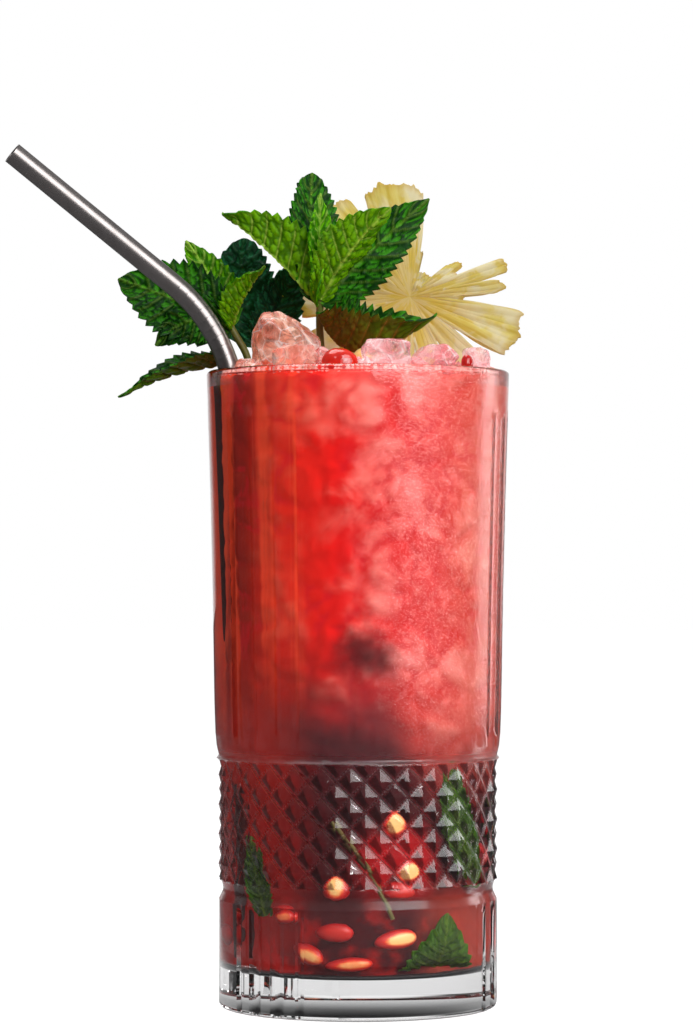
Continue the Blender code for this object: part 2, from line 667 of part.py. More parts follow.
def make_drink(parts, cutters):
    drink = turned_object("drink", drink_profile(), DRINK_STEPS, parts)
    bm = bmesh.new()
    bm.from_mesh(drink.data)
    bmesh.ops.recalc_face_normals(bm, faces=bm.faces)
    heap_top(bm)
    bm.to_mesh(drink.data)
    bm.free()
    drink_cutters(cutters)
    cut = drink.modifiers.new("standing_pieces", 'BOOLEAN')
    cut.operation = 'DIFFERENCE'
    cut.operand_type = 'COLLECTION'
    cut.collection = cutters
    cut.solver = 'EXACT'
    smooth(drink)
    give_material(drink, "iced_drink", DRINK_COLOUR, 0.3)
    return drink


def main():
    clear_scene()
    parts = new_collection("hibiscus_swizzle")
    cutters = new_collection("cutters")
    make_glass(parts)
    make_straw(parts)
    make_sprig("mint_sprig_front", FRONT_STEM, FRONT_BLADES, MINT_COLOUR, parts)
    make_sprig("mint_sprig_left", LEFT_STEM, LEFT_BLADES, MINT_COLOUR, parts)
    make_sprig("mint_sprig_back", BACK_STEM, BACK_BLADES, OLD_MINT_COLOUR, parts)
    make_pineapple(parts)
    make_ice(parts)
    make_arils(parts)
    make_drink(parts, cutters)


main()
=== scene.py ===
"""Looks of the hibiscus swizzle: a cut glass of iced drink with a steel straw, mint and dried pineapple.

It is laid out as an add-on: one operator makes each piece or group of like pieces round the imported
frame, and main() runs them in order. Lengths are in millimetres where a value is given as a tuple of
plain numbers, and mm() turns them into the scene's metres.
"""

import math
import random
from collections import namedtuple
from contextlib import contextmanager

import bpy
import numpy as np
from bpy.props import FloatProperty, FloatVectorProperty, IntProperty, PointerProperty
from mathutils import Matrix, Vector, noise


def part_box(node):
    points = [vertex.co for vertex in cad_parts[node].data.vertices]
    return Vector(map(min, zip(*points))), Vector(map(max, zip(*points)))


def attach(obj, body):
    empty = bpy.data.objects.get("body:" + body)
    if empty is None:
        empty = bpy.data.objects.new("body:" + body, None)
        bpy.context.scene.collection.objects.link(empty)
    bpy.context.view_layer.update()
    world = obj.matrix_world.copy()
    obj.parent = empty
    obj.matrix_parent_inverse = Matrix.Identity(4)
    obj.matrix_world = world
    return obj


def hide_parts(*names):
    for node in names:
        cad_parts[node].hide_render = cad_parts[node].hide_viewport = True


bl_info = {
    "name": "Hibiscus swizzle",
    "version": (1, 0, 0),
    "blender": (4, 5, 0),
    "location": "View3D > Sidebar > Swizzle",
    "description": "Builds the looks of an iced drink in a cut glass",
    "category": "Add Mesh",
}

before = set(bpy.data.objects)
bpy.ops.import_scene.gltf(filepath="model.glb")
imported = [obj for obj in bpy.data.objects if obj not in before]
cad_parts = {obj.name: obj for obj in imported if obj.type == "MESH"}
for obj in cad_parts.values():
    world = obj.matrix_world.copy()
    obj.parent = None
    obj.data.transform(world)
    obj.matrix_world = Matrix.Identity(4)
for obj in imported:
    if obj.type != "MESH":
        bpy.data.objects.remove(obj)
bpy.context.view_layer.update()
GLASS_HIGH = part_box("glass")[1]

MM = 0.001
MERGE = 0.00002                   # points this close, in metres, are one point
WHITE = (1.0, 1.0, 1.0, 1.0)

# Glass outline, radius and height
RIM_RADIUS = GLASS_HIGH.x / MM
GLASS_HEIGHT = GLASS_HIGH.z / MM
RIM_WALL = 2.0
OUTER_WALL = ((37.07, 149.0), (36.85, 142.0), (36.3, 124.0), (35.7, 99.7), (35.25, 72.0), (34.95, 66.5))
SHOULDER = ((34.75, 64.2), (34.4, 62.6), (34.2, 61.9), (34.28, 61.5), (34.75, 61.0))
INNER_WALL = ((31.2, 16.0), (31.7, 58.0), (32.8, 71.0), (33.5, 99.7), (35.0, 149.0))
FLOOR_HEIGHT = 9.5
FLOOR_ROUND = 5.0
FOOT_RADIUS = 34.1
FOOT_ROUND = 1.5
BELOW_BAND = ((33.55, 31.0), (33.3, 30.2), (33.1, 29.2), (33.2, 28.4), (34.1, 26.5), (34.1, 3.0))
FOOT_HEIGHTS = (25.8, 25.0, 24.0, 22.5, 20.0, 14.0, 8.0)      # rows of faces down the foot
WALL_ROW = 2.6                    # height of one row of faces on the plain wall
EASE = (-4, -2, 0, 2, 4)          # heights round a bend of the wall over which it is eased
ARC_STEPS = 10

# Diamond band: four-faced points, every second row half a column further round
BAND_TOP = 60.45
BAND_BOTTOM = 31.41
DIAMOND_HALF = 3.63               # half the height of a diamond
DIAMOND_ANGLE = 6.0               # half its width, degrees
DIAMOND_TURN = 3.0                # angle of the first column of points, degrees
APEX_RADIUS = 34.25
GROOVE_RADIUS = 33.35
DIAMOND_BASE = 0.86               # size of a point's base as a share of its cell
GROOVE_EDGE = 0.1                 # rise at which the frosted groove ends and the bright face begins
LEAN_EDGE = 0.15                  # width of the ridge between a left and a right face, in columns
FOOT_FROST = 0.6                  # how frosted the hollow ring is, where the ring above is fully so
RING_TOP = 62.7                   # top of the frosted ring over the band
FOOT_RING = 26.0                  # bottom of the hollow ring under it
BAND_ROWS = 48

# Flutes: three groups of shallow upright hollows with ribs between
FLUTE_GROUPS = 3
FLUTE_CENTRE = -40.5              # degrees from the front towards +X
FLUTE_DEPTH = 0.8
FLUTES = ((5.85, 3.15, 1.0), (16.2, 1.8, 0.8))      # middle, half width, share of depth, either side
FLUTE_SPANS = ((65.0, 146.5), (-1.0, 27.2))
FLUTE_FADE = 3.0

# Drink and the crushed ice packed in it
DRINK_LEVEL = 154.0
DRINK_EDGE = ((0.0, 0.5), (0.5, 0.15), (1.2, 0.0))            # where the drink climbs the wall: reach, rise
DRINK_SIDES = 180
INTO_WALL = 0.12                  # how far it reaches into the wall, so that no gap shows
PACK_CLEAR = 0.45                 # clear drink between the ice and the wall
PULP_RADIUS = 27.4                # the dark pulp at the foot
PULP_HIGH = 44.0                  # top of the pulp
PACK_LOW = 60.0                   # bottom of the ice at its full width; it narrows to the pulp between
PACK_RELIEF = 0.9                 # depth of the gaps between the lumps
PACK_ROW = 0.85                   # height of one row of faces
PACK_RINGS = 34                   # rings of faces across the top
MOUND = 2.6                       # how far the ice heaps up over the level, in the middle
MOUND_RADIUS = 34.0
MOUND_LUMPS = 1.8                 # height of the lumps on the heap
DARK_SPOT = (1.5, -32.0, 87.0)    # a leaf buried in the ice
WARM_SPOT = (9.0, -26.0, 37.0)    # light that comes through between the seeds
LUMP_SIZE = 9.5
CHIP_SIZE = 4.4
LUMP_WARP = 130                   # how often the lumps' edges waver, to a metre
STRAW_NEAR = (3.0, 4.6)           # distances from the straw's middle over which the ice gives way to it
STRAW_DENT = 7.0
STRAW_DENT_SPAN = (70.0, 95.0)    # heights over which the dent sets in

# Straw
STRAW_CORNERS = ((-83.2, -22.0, 207.4), (-35.8, -8.2, 169.1), (-30.1, -8.8, 152.5), (-24.0, -8.5, 12.8))
STRAW_BENDS = ((38.0, 180), (36.0, 10))
STRAW_RADIUS = 2.65
STRAW_WALL = 0.45
STRAW_RINGS = 9
RING_DEPTH = 0.012                # as a share of the radius
RING_SHARPNESS = 24
STRAW_SIDES = 40

# Mint: where a blade starts, bends and ends, the way its face looks, its width and its halves' folds
Blade = namedtuple("Blade", "base bend tip face width fold_a fold_b")
LEAF_ROWS = 108
LEAF_COLUMNS = 48
LEAF_THICKNESS = 0.42
TOOTH_LENGTH = 2.3
TOOTH_DEPTH = 0.19                # as a share of the half width
VEINS = 8.0                       # side veins on either half
VEIN_WIDTH = 0.055                # as a share of the way from one side vein to the next
RIB_WIDTH = 0.36
RIB_DEPTH = 0.35
VEIN_SWEEP = 0.26                 # how far the side veins run on towards the tip
QUILT = 0.85                      # height of the flesh between the veins
DOMES = 1.5                       # quilted domes of flesh between one side vein and the next
DOME_WIDTH = 1.8
STEM_RADIUS = 0.9
SUNK_STEM_RADIUS = 0.5
FRONT_STEM = ((-8.0, -3.6, 142.0), (-8.8, -4.0, 158.0), (-9.4, -5.4, 167.0), (-9.2, -7.8, 174.5))
FRONT_BLADES = (
    Blade((-9.9, -8.4, 171.4), (-20.5, -7.0, 185.0), (-33.5, -5.0, 194.4), (0.69, 0.1, 0.72), 21.0, 62, 80),
    Blade((-9.2, -7.4, 172.5), (-13.0, 3.0, 190.0), (-11.4, 8.0, 205.7), (0.15, -1.0, 0.1), 15.5, 15, 42),
    Blade((-9.2, -8.2, 173.0), (-10.0, -9.0, 185.0), (-9.3, -6.0, 199.2), (0.5, -0.8, 0.1), 9.5, 30, 30),
    Blade((-9.0, -8.6, 173.0), (-2.0, -13.0, 186.5), (8.1, -9.5, 195.4), (-0.35, 0.75, 0.55), 16.0, 22, 30),
    Blade((-9.0, -7.6, 172.0), (1.0, -4.0, 184.0), (17.6, 1.5, 198.6), (0.1, -0.95, 0.3), 17.0, 14, 14),
    Blade((-9.8, -8.0, 169.8), (-3.0, -10.5, 150.5), (19.3, -12.0, 169.1), (0.0, 0.0, 1.0), 25.0, 50, 84),
)
LEFT_STEM = ((-22.5, 3.0, 140.0), (-25.0, 3.6, 152.0), (-27.8, 4.6, 161.0), (-31.6, 4.6, 167.4))
LEFT_BLADES = (
    Blade((-31.2, 4.4, 166.6), (-29.0, 2.0, 174.0), (-22.7, 1.0, 182.0), (-0.85, 0.0, 0.5), 12.0, 62, 52),
    Blade((-31.4, 4.8, 167.0), (-46.0, 4.5, 175.0), (-59.4, 3.0, 178.9), (0.0, -0.95, 0.3), 21.0, 10, 10),
    Blade((-31.2, 4.6, 166.4), (-41.0, 1.5, 173.0), (-50.0, 0.5, 162.3), (0.1, -0.95, 0.2), 13.0, 8, 8),
    Blade((-31.6, 4.8, 167.2), (-35.0, 9.0, 179.0), (-43.0, 10.0, 189.0), (0.3, -0.95, 0.1), 11.5, 10, 10),
    Blade((-26.4, 4.2, 157.6), (-42.5, 3.4, 158.4), (-59.1, 1.0, 149.4), (0.0, 0.0, 1.0), 15.0, 38, 24),
)
BACK_STEM = ((-18.5, 10.5, 140.0), (-20.0, 10.6, 150.0), (-22.6, 10.8, 158.0), (-24.4, 10.8, 164.0))
BACK_BLADES = (
    Blade((-24.2, 10.8, 162.8), (-31.0, 11.0, 177.0), (-28.5, 13.0, 190.0), (0.05, -1.0, 0.1), 18.0, 16, 16),
    Blade((-24.0, 10.6, 162.4), (-19.5, 9.0, 173.0), (-15.0, 9.5, 184.5), (0.2, -1.0, 0.1), 12.5, 14, 14),
)
BLUNT_TIPS = (FRONT_BLADES[1].tip, BACK_BLADES[0].tip)
SUNK_BLADES = (
    Blade((11.7, -15.0, 10.6), (20.6, -25.5, 10.2), (20.2, -21.9, 25.0), (0.51, -0.61, -0.59), 19.0, 4, 4),
    Blade((27.3, -12.3, 31.0), (22.0, -22.6, 47.0), (20.8, -21.7, 63.0), (0.64, -0.77, 0.0), 10.0, 6, 6),
    Blade((-21.0, -21.0, 24.0), (-24.0, -19.5, 33.0), (-24.8, -17.4, 42.5), (-0.6, -0.8, 0.1), 7.5, 12, 12),
    Blade((4.0, 26.0, 20.0), (-4.0, 28.0, 30.0), (-14.0, 25.0, 40.0), (0.0, 1.0, 0.1), 14.0, 10, 10),
    Blade((27.0, 8.0, 52.0), (28.0, 10.0, 40.0), (24.0, 16.0, 28.0), (1.0, 0.4, 0.1), 10.0, 10, 10),
)
SUNK_STEM = ((-5.6, -28.2, 46.6), (-1.0, -29.0, 40.6), (3.2, -29.0, 35.0), (8.0, -28.8, 24.0))

# Pineapple wheel
WHEEL_CENTRE = (13.0, 14.0, 175.3)
WHEEL_LEAN = math.radians(15.0)
WHEEL_THICKNESS = 1.0
WHEEL_WAVE = 1.3
WHEEL_PLEATS = 0.36
WHEEL_RADIUS = 25.0
WHEEL_COLUMNS = 600
WHEEL_ROWS = 30
# Petals: middle and half width, in degrees, and length from the wheel's centre
WHEEL_PETALS = ((-20, 17, 28.8), (6, 5.5, 23.5), (18.5, 6, 25.5), (36, 5, 15.8), (98, 20, 30.4),
                (129, 12, 31.0), (154, 12, 28.5), (181, 13, 28.0), (208, 12, 27.0), (234, 12, 28.0),
                (261, 13, 27.5), (288, 12, 28.0), (312, 10, 26.5))
WHEEL_NOTCH = 13.0                # radius between two petals
WHEEL_CORE = 7.0                  # radius where a petal is missing
CORE_NOTCH = (42.0, 75.0)         # the missing petal, degrees

# Fruit sunk in the drink: middle, length and height, turn in its own upright plane facing out, how pale
Seed = namedtuple("Seed", "centre size tilt pale")
FRONT_SEEDS = (
    Seed((8.2, -27.9, 46.4), (6.6, 7.0), 50, 1.0),
    Seed((11.1, -26.9, 35.0), (6.6, 6.0), 25, 1.0),
    Seed((-5.0, -28.6, 31.1), (6.0, 7.2), 80, 0.9),
    Seed((-5.3, -28.4, 20.8), (8.8, 5.2), 0, 0.35),
    Seed((8.6, -27.7, 19.1), (10.2, 5.4), 8, 0.95),
    Seed((-11.3, -26.5, 15.6), (8.0, 5.2), -25, 0.8),
    Seed((-2.1, -28.7, 13.2), (11.0, 4.0), 4, 0.75),
    Seed((-17.0, -23.3, 24.3), (6.4, 4.0), 0, 0.65),
    Seed((9.5, -27.4, 30.6), (7.5, 4.6), 0, 0.3),
)
FRUIT_SIDES = 20
SEED_THICKNESS = 3.6
MORE_SEEDS = 20                   # round the sides and back, where the front ones leave off
MORE_SEEDS_SPAN = (75, 210)       # first angle and whole turn, degrees
MORE_SEEDS_RADII = (28.0, 28.8)
MORE_SEEDS_LOW = (14.5, 26.0)     # heights of two seeds in three, and of the third
MORE_SEEDS_HIGH = (28.0, 52.0)

FROTH_BUBBLES = 230
FROTH_REACH = 34.9                # the bubbles stop here, just inside the wall
FROTH_RADII = (0.25, 0.65)
ICE_CRUMBS = 170
CRUMB_REACH = 33.0
CRUMB_SIZES = (1.6, 4.2)
CRUMB_LIFT = 0.7                  # height of the crumbs over the heap
SEED_DRAW, CRUMB_DRAW, FROTH_DRAW = 3, 7, 11                  # starts of the random draws

CAMERA_PLACE = (0.0, -883.0, 105.8)
CAMERA_AIM = (-2.8, 0.0, 121.3)
CAMERA_FOCUS = 3585.0             # focal length, in pixels
PICTURE_HEIGHT = 1024             # pixels
NEAREST_SEEN = 0.01               # metres

# Studio, in metres and watts
FLOOR_SIZE = 6.0
FLOOR_GLOW = 0.95
FLOOR_SHEEN = 0.6                 # how bright the floor behind the glass looks through it
ROOM_GREY = 0.06
ROOM_BACK = 0.9
ROOM_BACK_SPAN = (0.86, 0.97)     # how squarely a ray must look back for the back wall to set in
ROOM_TOP = 0.35
LAMP_AIM = (0.0, 0.0, 0.12)
LAMPS = (
    ("key", (0.55, -0.76, 0.55), (1.0, 0.6), 9.0),
    ("spark", (0.42, -0.8, 0.42), (0.05, 0.05), 0.15),
    ("back_right", (0.87, 0.5, 0.35), (0.25, 0.8), 2.5),
    ("top", (-0.1, 0.05, 1.0), (0.7, 0.7), 6.0),
)


def mm(point):
    """A point given in millimetres, in metres."""
    return Vector(point) * MM


def rgb(red, green, blue):
    """A colour given by its screen values, 0 to 255, as a shader takes it."""
    return tuple(((value / 255 + 0.055) / 1.055) ** 2.4 for value in (red, green, blue)) + (1.0,)


def blend(low, high, value):
    """0 at low and below, 1 at high and above, smooth between."""
    share = min(max((value - low) / (high - low), 0.0), 1.0)
    return share * share * (3 - 2 * share)


# ---------------------------------------------------------------- sizes and colours

class SwizzleSizes(bpy.types.PropertyGroup):
    """Sizes a maker may change."""
    glass_columns: IntProperty(name="Glass columns", description="Columns of faces round the glass",
                               default=360, min=120, max=720)
    ice_columns: IntProperty(name="Ice columns", description="Columns of faces round the packed ice",
                             default=260, min=80, max=400)
    frost: FloatProperty(name="Frost", description="Depth of the fine dew on the cold side of the glass",
                         default=0.00012, min=0.0, max=0.001, subtype='DISTANCE', unit='LENGTH')


def colour_property(name, description, red, green, blue):
    return FloatVectorProperty(name=name, description=description, default=rgb(red, green, blue), size=4,
                               min=0.0, max=1.0, subtype='COLOR')


class SwizzleColours(bpy.types.PropertyGroup):
    """Colours a maker may change."""
    ice_pink: colour_property("Ice pink", "Lumps of ice against the wall", 244, 138, 134)
    drink_red: colour_property("Drink red", "Cloudy drink between the lumps", 222, 26, 22)
    drink_maroon: colour_property("Drink maroon", "Deep drink at the foot", 74, 16, 22)
    mint_top: colour_property("Mint", "Upper face of the fresh mint", 136, 222, 12)
    mint_under: colour_property("Mint underside", "Underside of the fresh mint", 132, 196, 6)
    old_mint: colour_property("Old mint", "Upper face of the old leaves", 44, 128, 84)
    pineapple: colour_property("Pineapple", "Dried flesh of the wheel", 248, 238, 150)
    aril: colour_property("Aril", "Flesh round the seeds", 176, 6, 16)
    kernel: colour_property("Kernel", "Pale seeds", 250, 205, 130)
    steel: colour_property("Steel", "Polished straw", 158, 152, 150)


# ---------------------------------------------------------------- modelling

def deselect():
    bpy.ops.object.select_all(action='DESELECT')


def activate(piece):
    deselect()
    piece.select_set(True)
    bpy.context.view_layer.objects.active = piece


@contextmanager
def edit_mode(piece):
    activate(piece)
    bpy.ops.object.mode_set(mode='EDIT')
    yield
    bpy.ops.object.mode_set(mode='OBJECT')


def named(name):
    """The object just added, under its own name."""
    piece = bpy.context.active_object
    piece.name = name
    piece.data.name = name
    return piece


def bake_place(piece):
    activate(piece)
    bpy.ops.object.transform_apply(location=True, rotation=True, scale=True)


def apply_modifiers(piece):
    activate(piece)
    for modifier in list(piece.modifiers):
        bpy.ops.object.modifier_apply(modifier=modifier.name)


def thicken(piece, thickness, offset=0.0, further=0):
    """Give a surface its thickness: half to either side, or all inwards at offset -1.

    Its inner face takes the material that is so many places further on.
    """
    body = piece.modifiers.new("body", 'SOLIDIFY')
    body.thickness = thickness * MM
    body.offset = offset
    body.material_offset = further
    apply_modifiers(piece)


def close_up(piece):
    """Merge seams and poles, and turn every face outwards."""
    with edit_mode(piece):
        bpy.ops.mesh.select_all(action='SELECT')
        bpy.ops.mesh.remove_doubles(threshold=MERGE)
        bpy.ops.mesh.normals_make_consistent(inside=False)


def turned(name, outline, steps):
    """A solid spun about Z from an outline of radii and heights that starts and ends on the axis."""
    deselect()
    bpy.ops.mesh.primitive_circle_add(vertices=len(outline), radius=MM)
    piece = named(name)
    with edit_mode(piece):
        bpy.ops.mesh.select_all(action='DESELECT')
    piece.data.vertices[0].select = True
    piece.data.vertices[len(outline) - 1].select = True
    with edit_mode(piece):
        bpy.ops.mesh.delete(type='EDGE')
    for vert, (radius, height) in zip(piece.data.vertices, outline):
        vert.co = mm((radius, 0.0, height))
    with edit_mode(piece):
        bpy.ops.mesh.select_all(action='SELECT')
        bpy.ops.mesh.spin(steps=steps, angle=math.tau, center=(0, 0, 0), axis=(0, 0, 1))
    close_up(piece)
    return piece


def shaped_grid(name, columns, rows, shape):
    """A grid whose every point goes where shape(u, v) puts it, in millimetres, with u and v from 0 to 1."""
    deselect()
    bpy.ops.mesh.primitive_grid_add(x_subdivisions=columns, y_subdivisions=rows, size=2.0, calc_uvs=True)
    piece = named(name)
    bake_place(piece)
    for vert in piece.data.vertices:
        vert.co = mm(shape((vert.co.x + 1) / 2, (vert.co.y + 1) / 2))
    return piece


def round_axis(radius, angle, height):
    """A point at a radius from the glass's axis, its angle counted from the front towards +X."""
    return radius * math.sin(angle), -radius * math.cos(angle), height


def mark(piece, name, values):
    """Keep one number for each point of the piece, for its material to read."""
    attribute = piece.data.attributes.new(name, 'FLOAT', 'POINT')
    attribute.data.foreach_set("value", values)


def joined(name, pieces):
    activate(pieces[0])
    for piece in pieces:
        piece.select_set(True)
    bpy.ops.object.join()
    return named(name)


def from_node(name, node):
    """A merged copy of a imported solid, ready to be worked finer."""
    piece = bpy.data.objects.new(name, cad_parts[node].data.copy())
    piece.data.name = name
    piece.data.materials.clear()
    bpy.context.scene.collection.objects.link(piece)
    close_up(piece)
    return piece


def finish_piece(piece, slot, *nodes, material=None, angle=40.0):
    """Give the piece its material, shade it smooth, ride it on the part and hide the imported solids it
    stands for.
    """
    if material:
        piece.data.materials.append(material)
    activate(piece)
    bpy.ops.object.shade_smooth_by_angle(angle=math.radians(angle))
    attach(piece, "root")
    if nodes:
        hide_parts(*nodes)


# ---------------------------------------------------------------- materials

class Wiring:
    """A node tree under construction; its methods add nodes and give back their outputs."""

    def __init__(self, tree):
        self.tree = tree

    def node(self, kind, **settings):
        node = self.tree.nodes.new(kind)
        for key, value in settings.items():
            setattr(node, key, value)
        return node

    def feed(self, socket, value):
        if isinstance(value, bpy.types.NodeSocket):
            self.tree.links.new(value, socket)
        else:
            socket.default_value = value

    def part_of(self, axis, place):
        split = self.node("ShaderNodeSeparateXYZ")
        self.feed(split.inputs[0], place)
        return split.outputs[axis]

    def ray(self, kind):
        """1 for a ray of this kind and 0 for any other."""
        return self.node("ShaderNodeLightPath").outputs[f"Is {kind} Ray"]

    def spread(self, value, low, high, to_low=0.0, to_high=1.0):
        """The value's range low to high, spread smoothly over to_low to to_high."""
        node = self.node("ShaderNodeMapRange", interpolation_type='SMOOTHSTEP')
        for socket, given in zip(node.inputs, (value, low, high, to_low, to_high)):
            self.feed(socket, given)
        return node.outputs["Result"]

    def worked_out(self, operation, *values):
        node = self.node("ShaderNodeMath", operation=operation)
        for socket, value in zip(node.inputs, values):
            self.feed(socket, value)
        return node.outputs[0]

    def times(self, a, b):
        return self.worked_out('MULTIPLY', a, b)

    def plus(self, a, b):
        return self.worked_out('ADD', a, b)

    def surface(self, output, factor, a, b):
        """End in a mix of two shaders, all a at factor 0 and all b at 1."""
        mix = self.node("ShaderNodeMixShader")
        for socket, value in zip(mix.inputs, (factor, a.outputs[0], b.outputs[0])):
            self.feed(socket, value)
        self.feed(self.tree.nodes[output].inputs["Surface"], mix.outputs[0])


class Paint(Wiring):
    """A material under construction."""

    def __init__(self, name):
        self.material = bpy.data.materials.new(name)
        self.material.use_nodes = True
        super().__init__(self.material.node_tree)
        self.shader = self.tree.nodes["Principled BSDF"]
        self.place = self.node("ShaderNodeTexCoord").outputs["Object"]

    def set(self, **values):
        """Feed the shader's sockets; an underscore stands for a space."""
        for key, value in values.items():
            self.feed(self.shader.inputs[key.replace("_", " ")], value)

    def along(self, axis):
        """How far a point of the piece lies along X, Y or Z."""
        return self.part_of(axis, self.place)

    def attribute(self, name):
        return self.node("ShaderNodeAttribute", attribute_name=name).outputs["Fac"]

    def uv(self, scale_u=1.0, scale_v=1.0):
        chart = self.node("ShaderNodeTexCoord").outputs["UV"]
        return self.stretched(chart, (scale_u, scale_v, 1.0))

    def stretched(self, place, scale):
        mapping = self.node("ShaderNodeMapping")
        self.feed(mapping.inputs["Vector"], place)
        mapping.inputs["Scale"].default_value = scale
        return mapping.outputs["Vector"]

    def upright(self, share):
        """Places with their heights scaled by share, which draws a pattern out upright."""
        return self.stretched(self.place, (1.0, 1.0, share))

    def distance(self, point):
        """How far a place lies from a point given in millimetres."""
        node = self.node("ShaderNodeVectorMath", operation='DISTANCE')
        self.feed(node.inputs[0], self.place)
        node.inputs[1].default_value = mm(point)
        return node.outputs["Value"]

    def noise(self, scale, detail=3.0, place=None, roughness=0.5, distortion=0.0):
        node = self.node("ShaderNodeTexNoise")
        self.feed(node.inputs["Vector"], place or self.place)
        node.inputs["Scale"].default_value = scale
        node.inputs["Detail"].default_value = detail
        node.inputs["Roughness"].default_value = roughness
        node.inputs["Distortion"].default_value = distortion
        return node.outputs["Fac"]

    def cracks(self, scale):
        """Distance to the nearest line of a net of cracks."""
        node = self.node("ShaderNodeTexVoronoi", feature='DISTANCE_TO_EDGE')
        self.feed(node.inputs["Vector"], self.place)
        node.inputs["Scale"].default_value = scale
        return node.outputs["Distance"]

    def mix(self, factor, a, b, blend_type='MIX'):
        node = self.node("ShaderNodeMix", data_type='RGBA', blend_type=blend_type)
        for index, given in ((0, factor), (6, a), (7, b)):
            self.feed(node.inputs[index], given)
        return node.outputs[2]

    def ramp(self, factor, *stops):
        node = self.node("ShaderNodeValToRGB")
        self.feed(node.inputs["Fac"], factor)
        elements = node.color_ramp.elements
        while len(elements) < len(stops):
            elements.new(0.5)
        for element, (position, colour) in zip(elements, stops):
            element.position = position
            element.color = colour
        return node.outputs["Color"]

    def bump(self, height, distance, strength=1.0):
        """Raise the surface by height, 0 to 1, times distance."""
        node = self.node("ShaderNodeBump")
        self.feed(node.inputs["Height"], height)
        node.inputs["Distance"].default_value = distance
        node.inputs["Strength"].default_value = strength
        self.set(Normal=node.outputs["Normal"])

    def let_lamps_through(self, tint):
        """Rays from the lamps pass straight through, so that what is inside is lit."""
        clear = self.node("ShaderNodeBsdfTransparent")
        clear.inputs["Color"].default_value = tint
        self.surface("Material Output", self.ray("Shadow"), self.shader, clear)

    def glow_through(self, colour, share):
        """Mix in light that comes through the piece from behind."""
        thin = self.node("ShaderNodeBsdfTranslucent")
        self.feed(thin.inputs["Color"], colour)
        self.surface("Material Output", share, self.shader, thin)


def cut_glass(sizes):
    """Clear glass with fine dew on its cold right side above the band, painted shade on its left faces and
    frosted grooves.
    """
    paint = Paint("cut_glass")
    side = paint.spread(paint.along("X"), -0.004, 0.022)
    height = paint.spread(paint.along("Z"), 0.060, 0.075)
    dewy = paint.times(side, height)
    dew = paint.times(paint.noise(1500.0, 2.0), dewy)
    # Painted shade: faces that look left are tinted dark, standing in for the dark they would show.
    shade = paint.spread(paint.attribute("lean"), -1.0, 0.0, 1.0, 0.0)
    frosted = paint.times(paint.attribute("frosted"), 0.3)
    paint.set(Base_Color=paint.mix(shade, WHITE, (0.13, 0.08, 0.1, 1.0)), Transmission_Weight=1.0,
              IOR=1.5, Roughness=paint.plus(paint.spread(dewy, 0.0, 1.0, 0.0, 0.11), frosted))
    paint.bump(dew, sizes.frost)
    paint.let_lamps_through((0.97, 0.97, 0.97, 1.0))
    return paint.material


def clear_drink():
    """The red liquid itself."""
    paint = Paint("clear_red_drink")
    paint.set(Base_Color=WHITE, Transmission_Weight=1.0, IOR=1.33, Roughness=0.0)
    paint.let_lamps_through(WHITE)
    depth = paint.node("ShaderNodeVolumeAbsorption")
    depth.inputs["Color"].default_value = (0.82, 0.22, 0.2, 1.0)
    depth.inputs["Density"].default_value = 90.0
    paint.feed(paint.tree.nodes["Material Output"].inputs["Volume"], depth.outputs[0])
    return paint.material


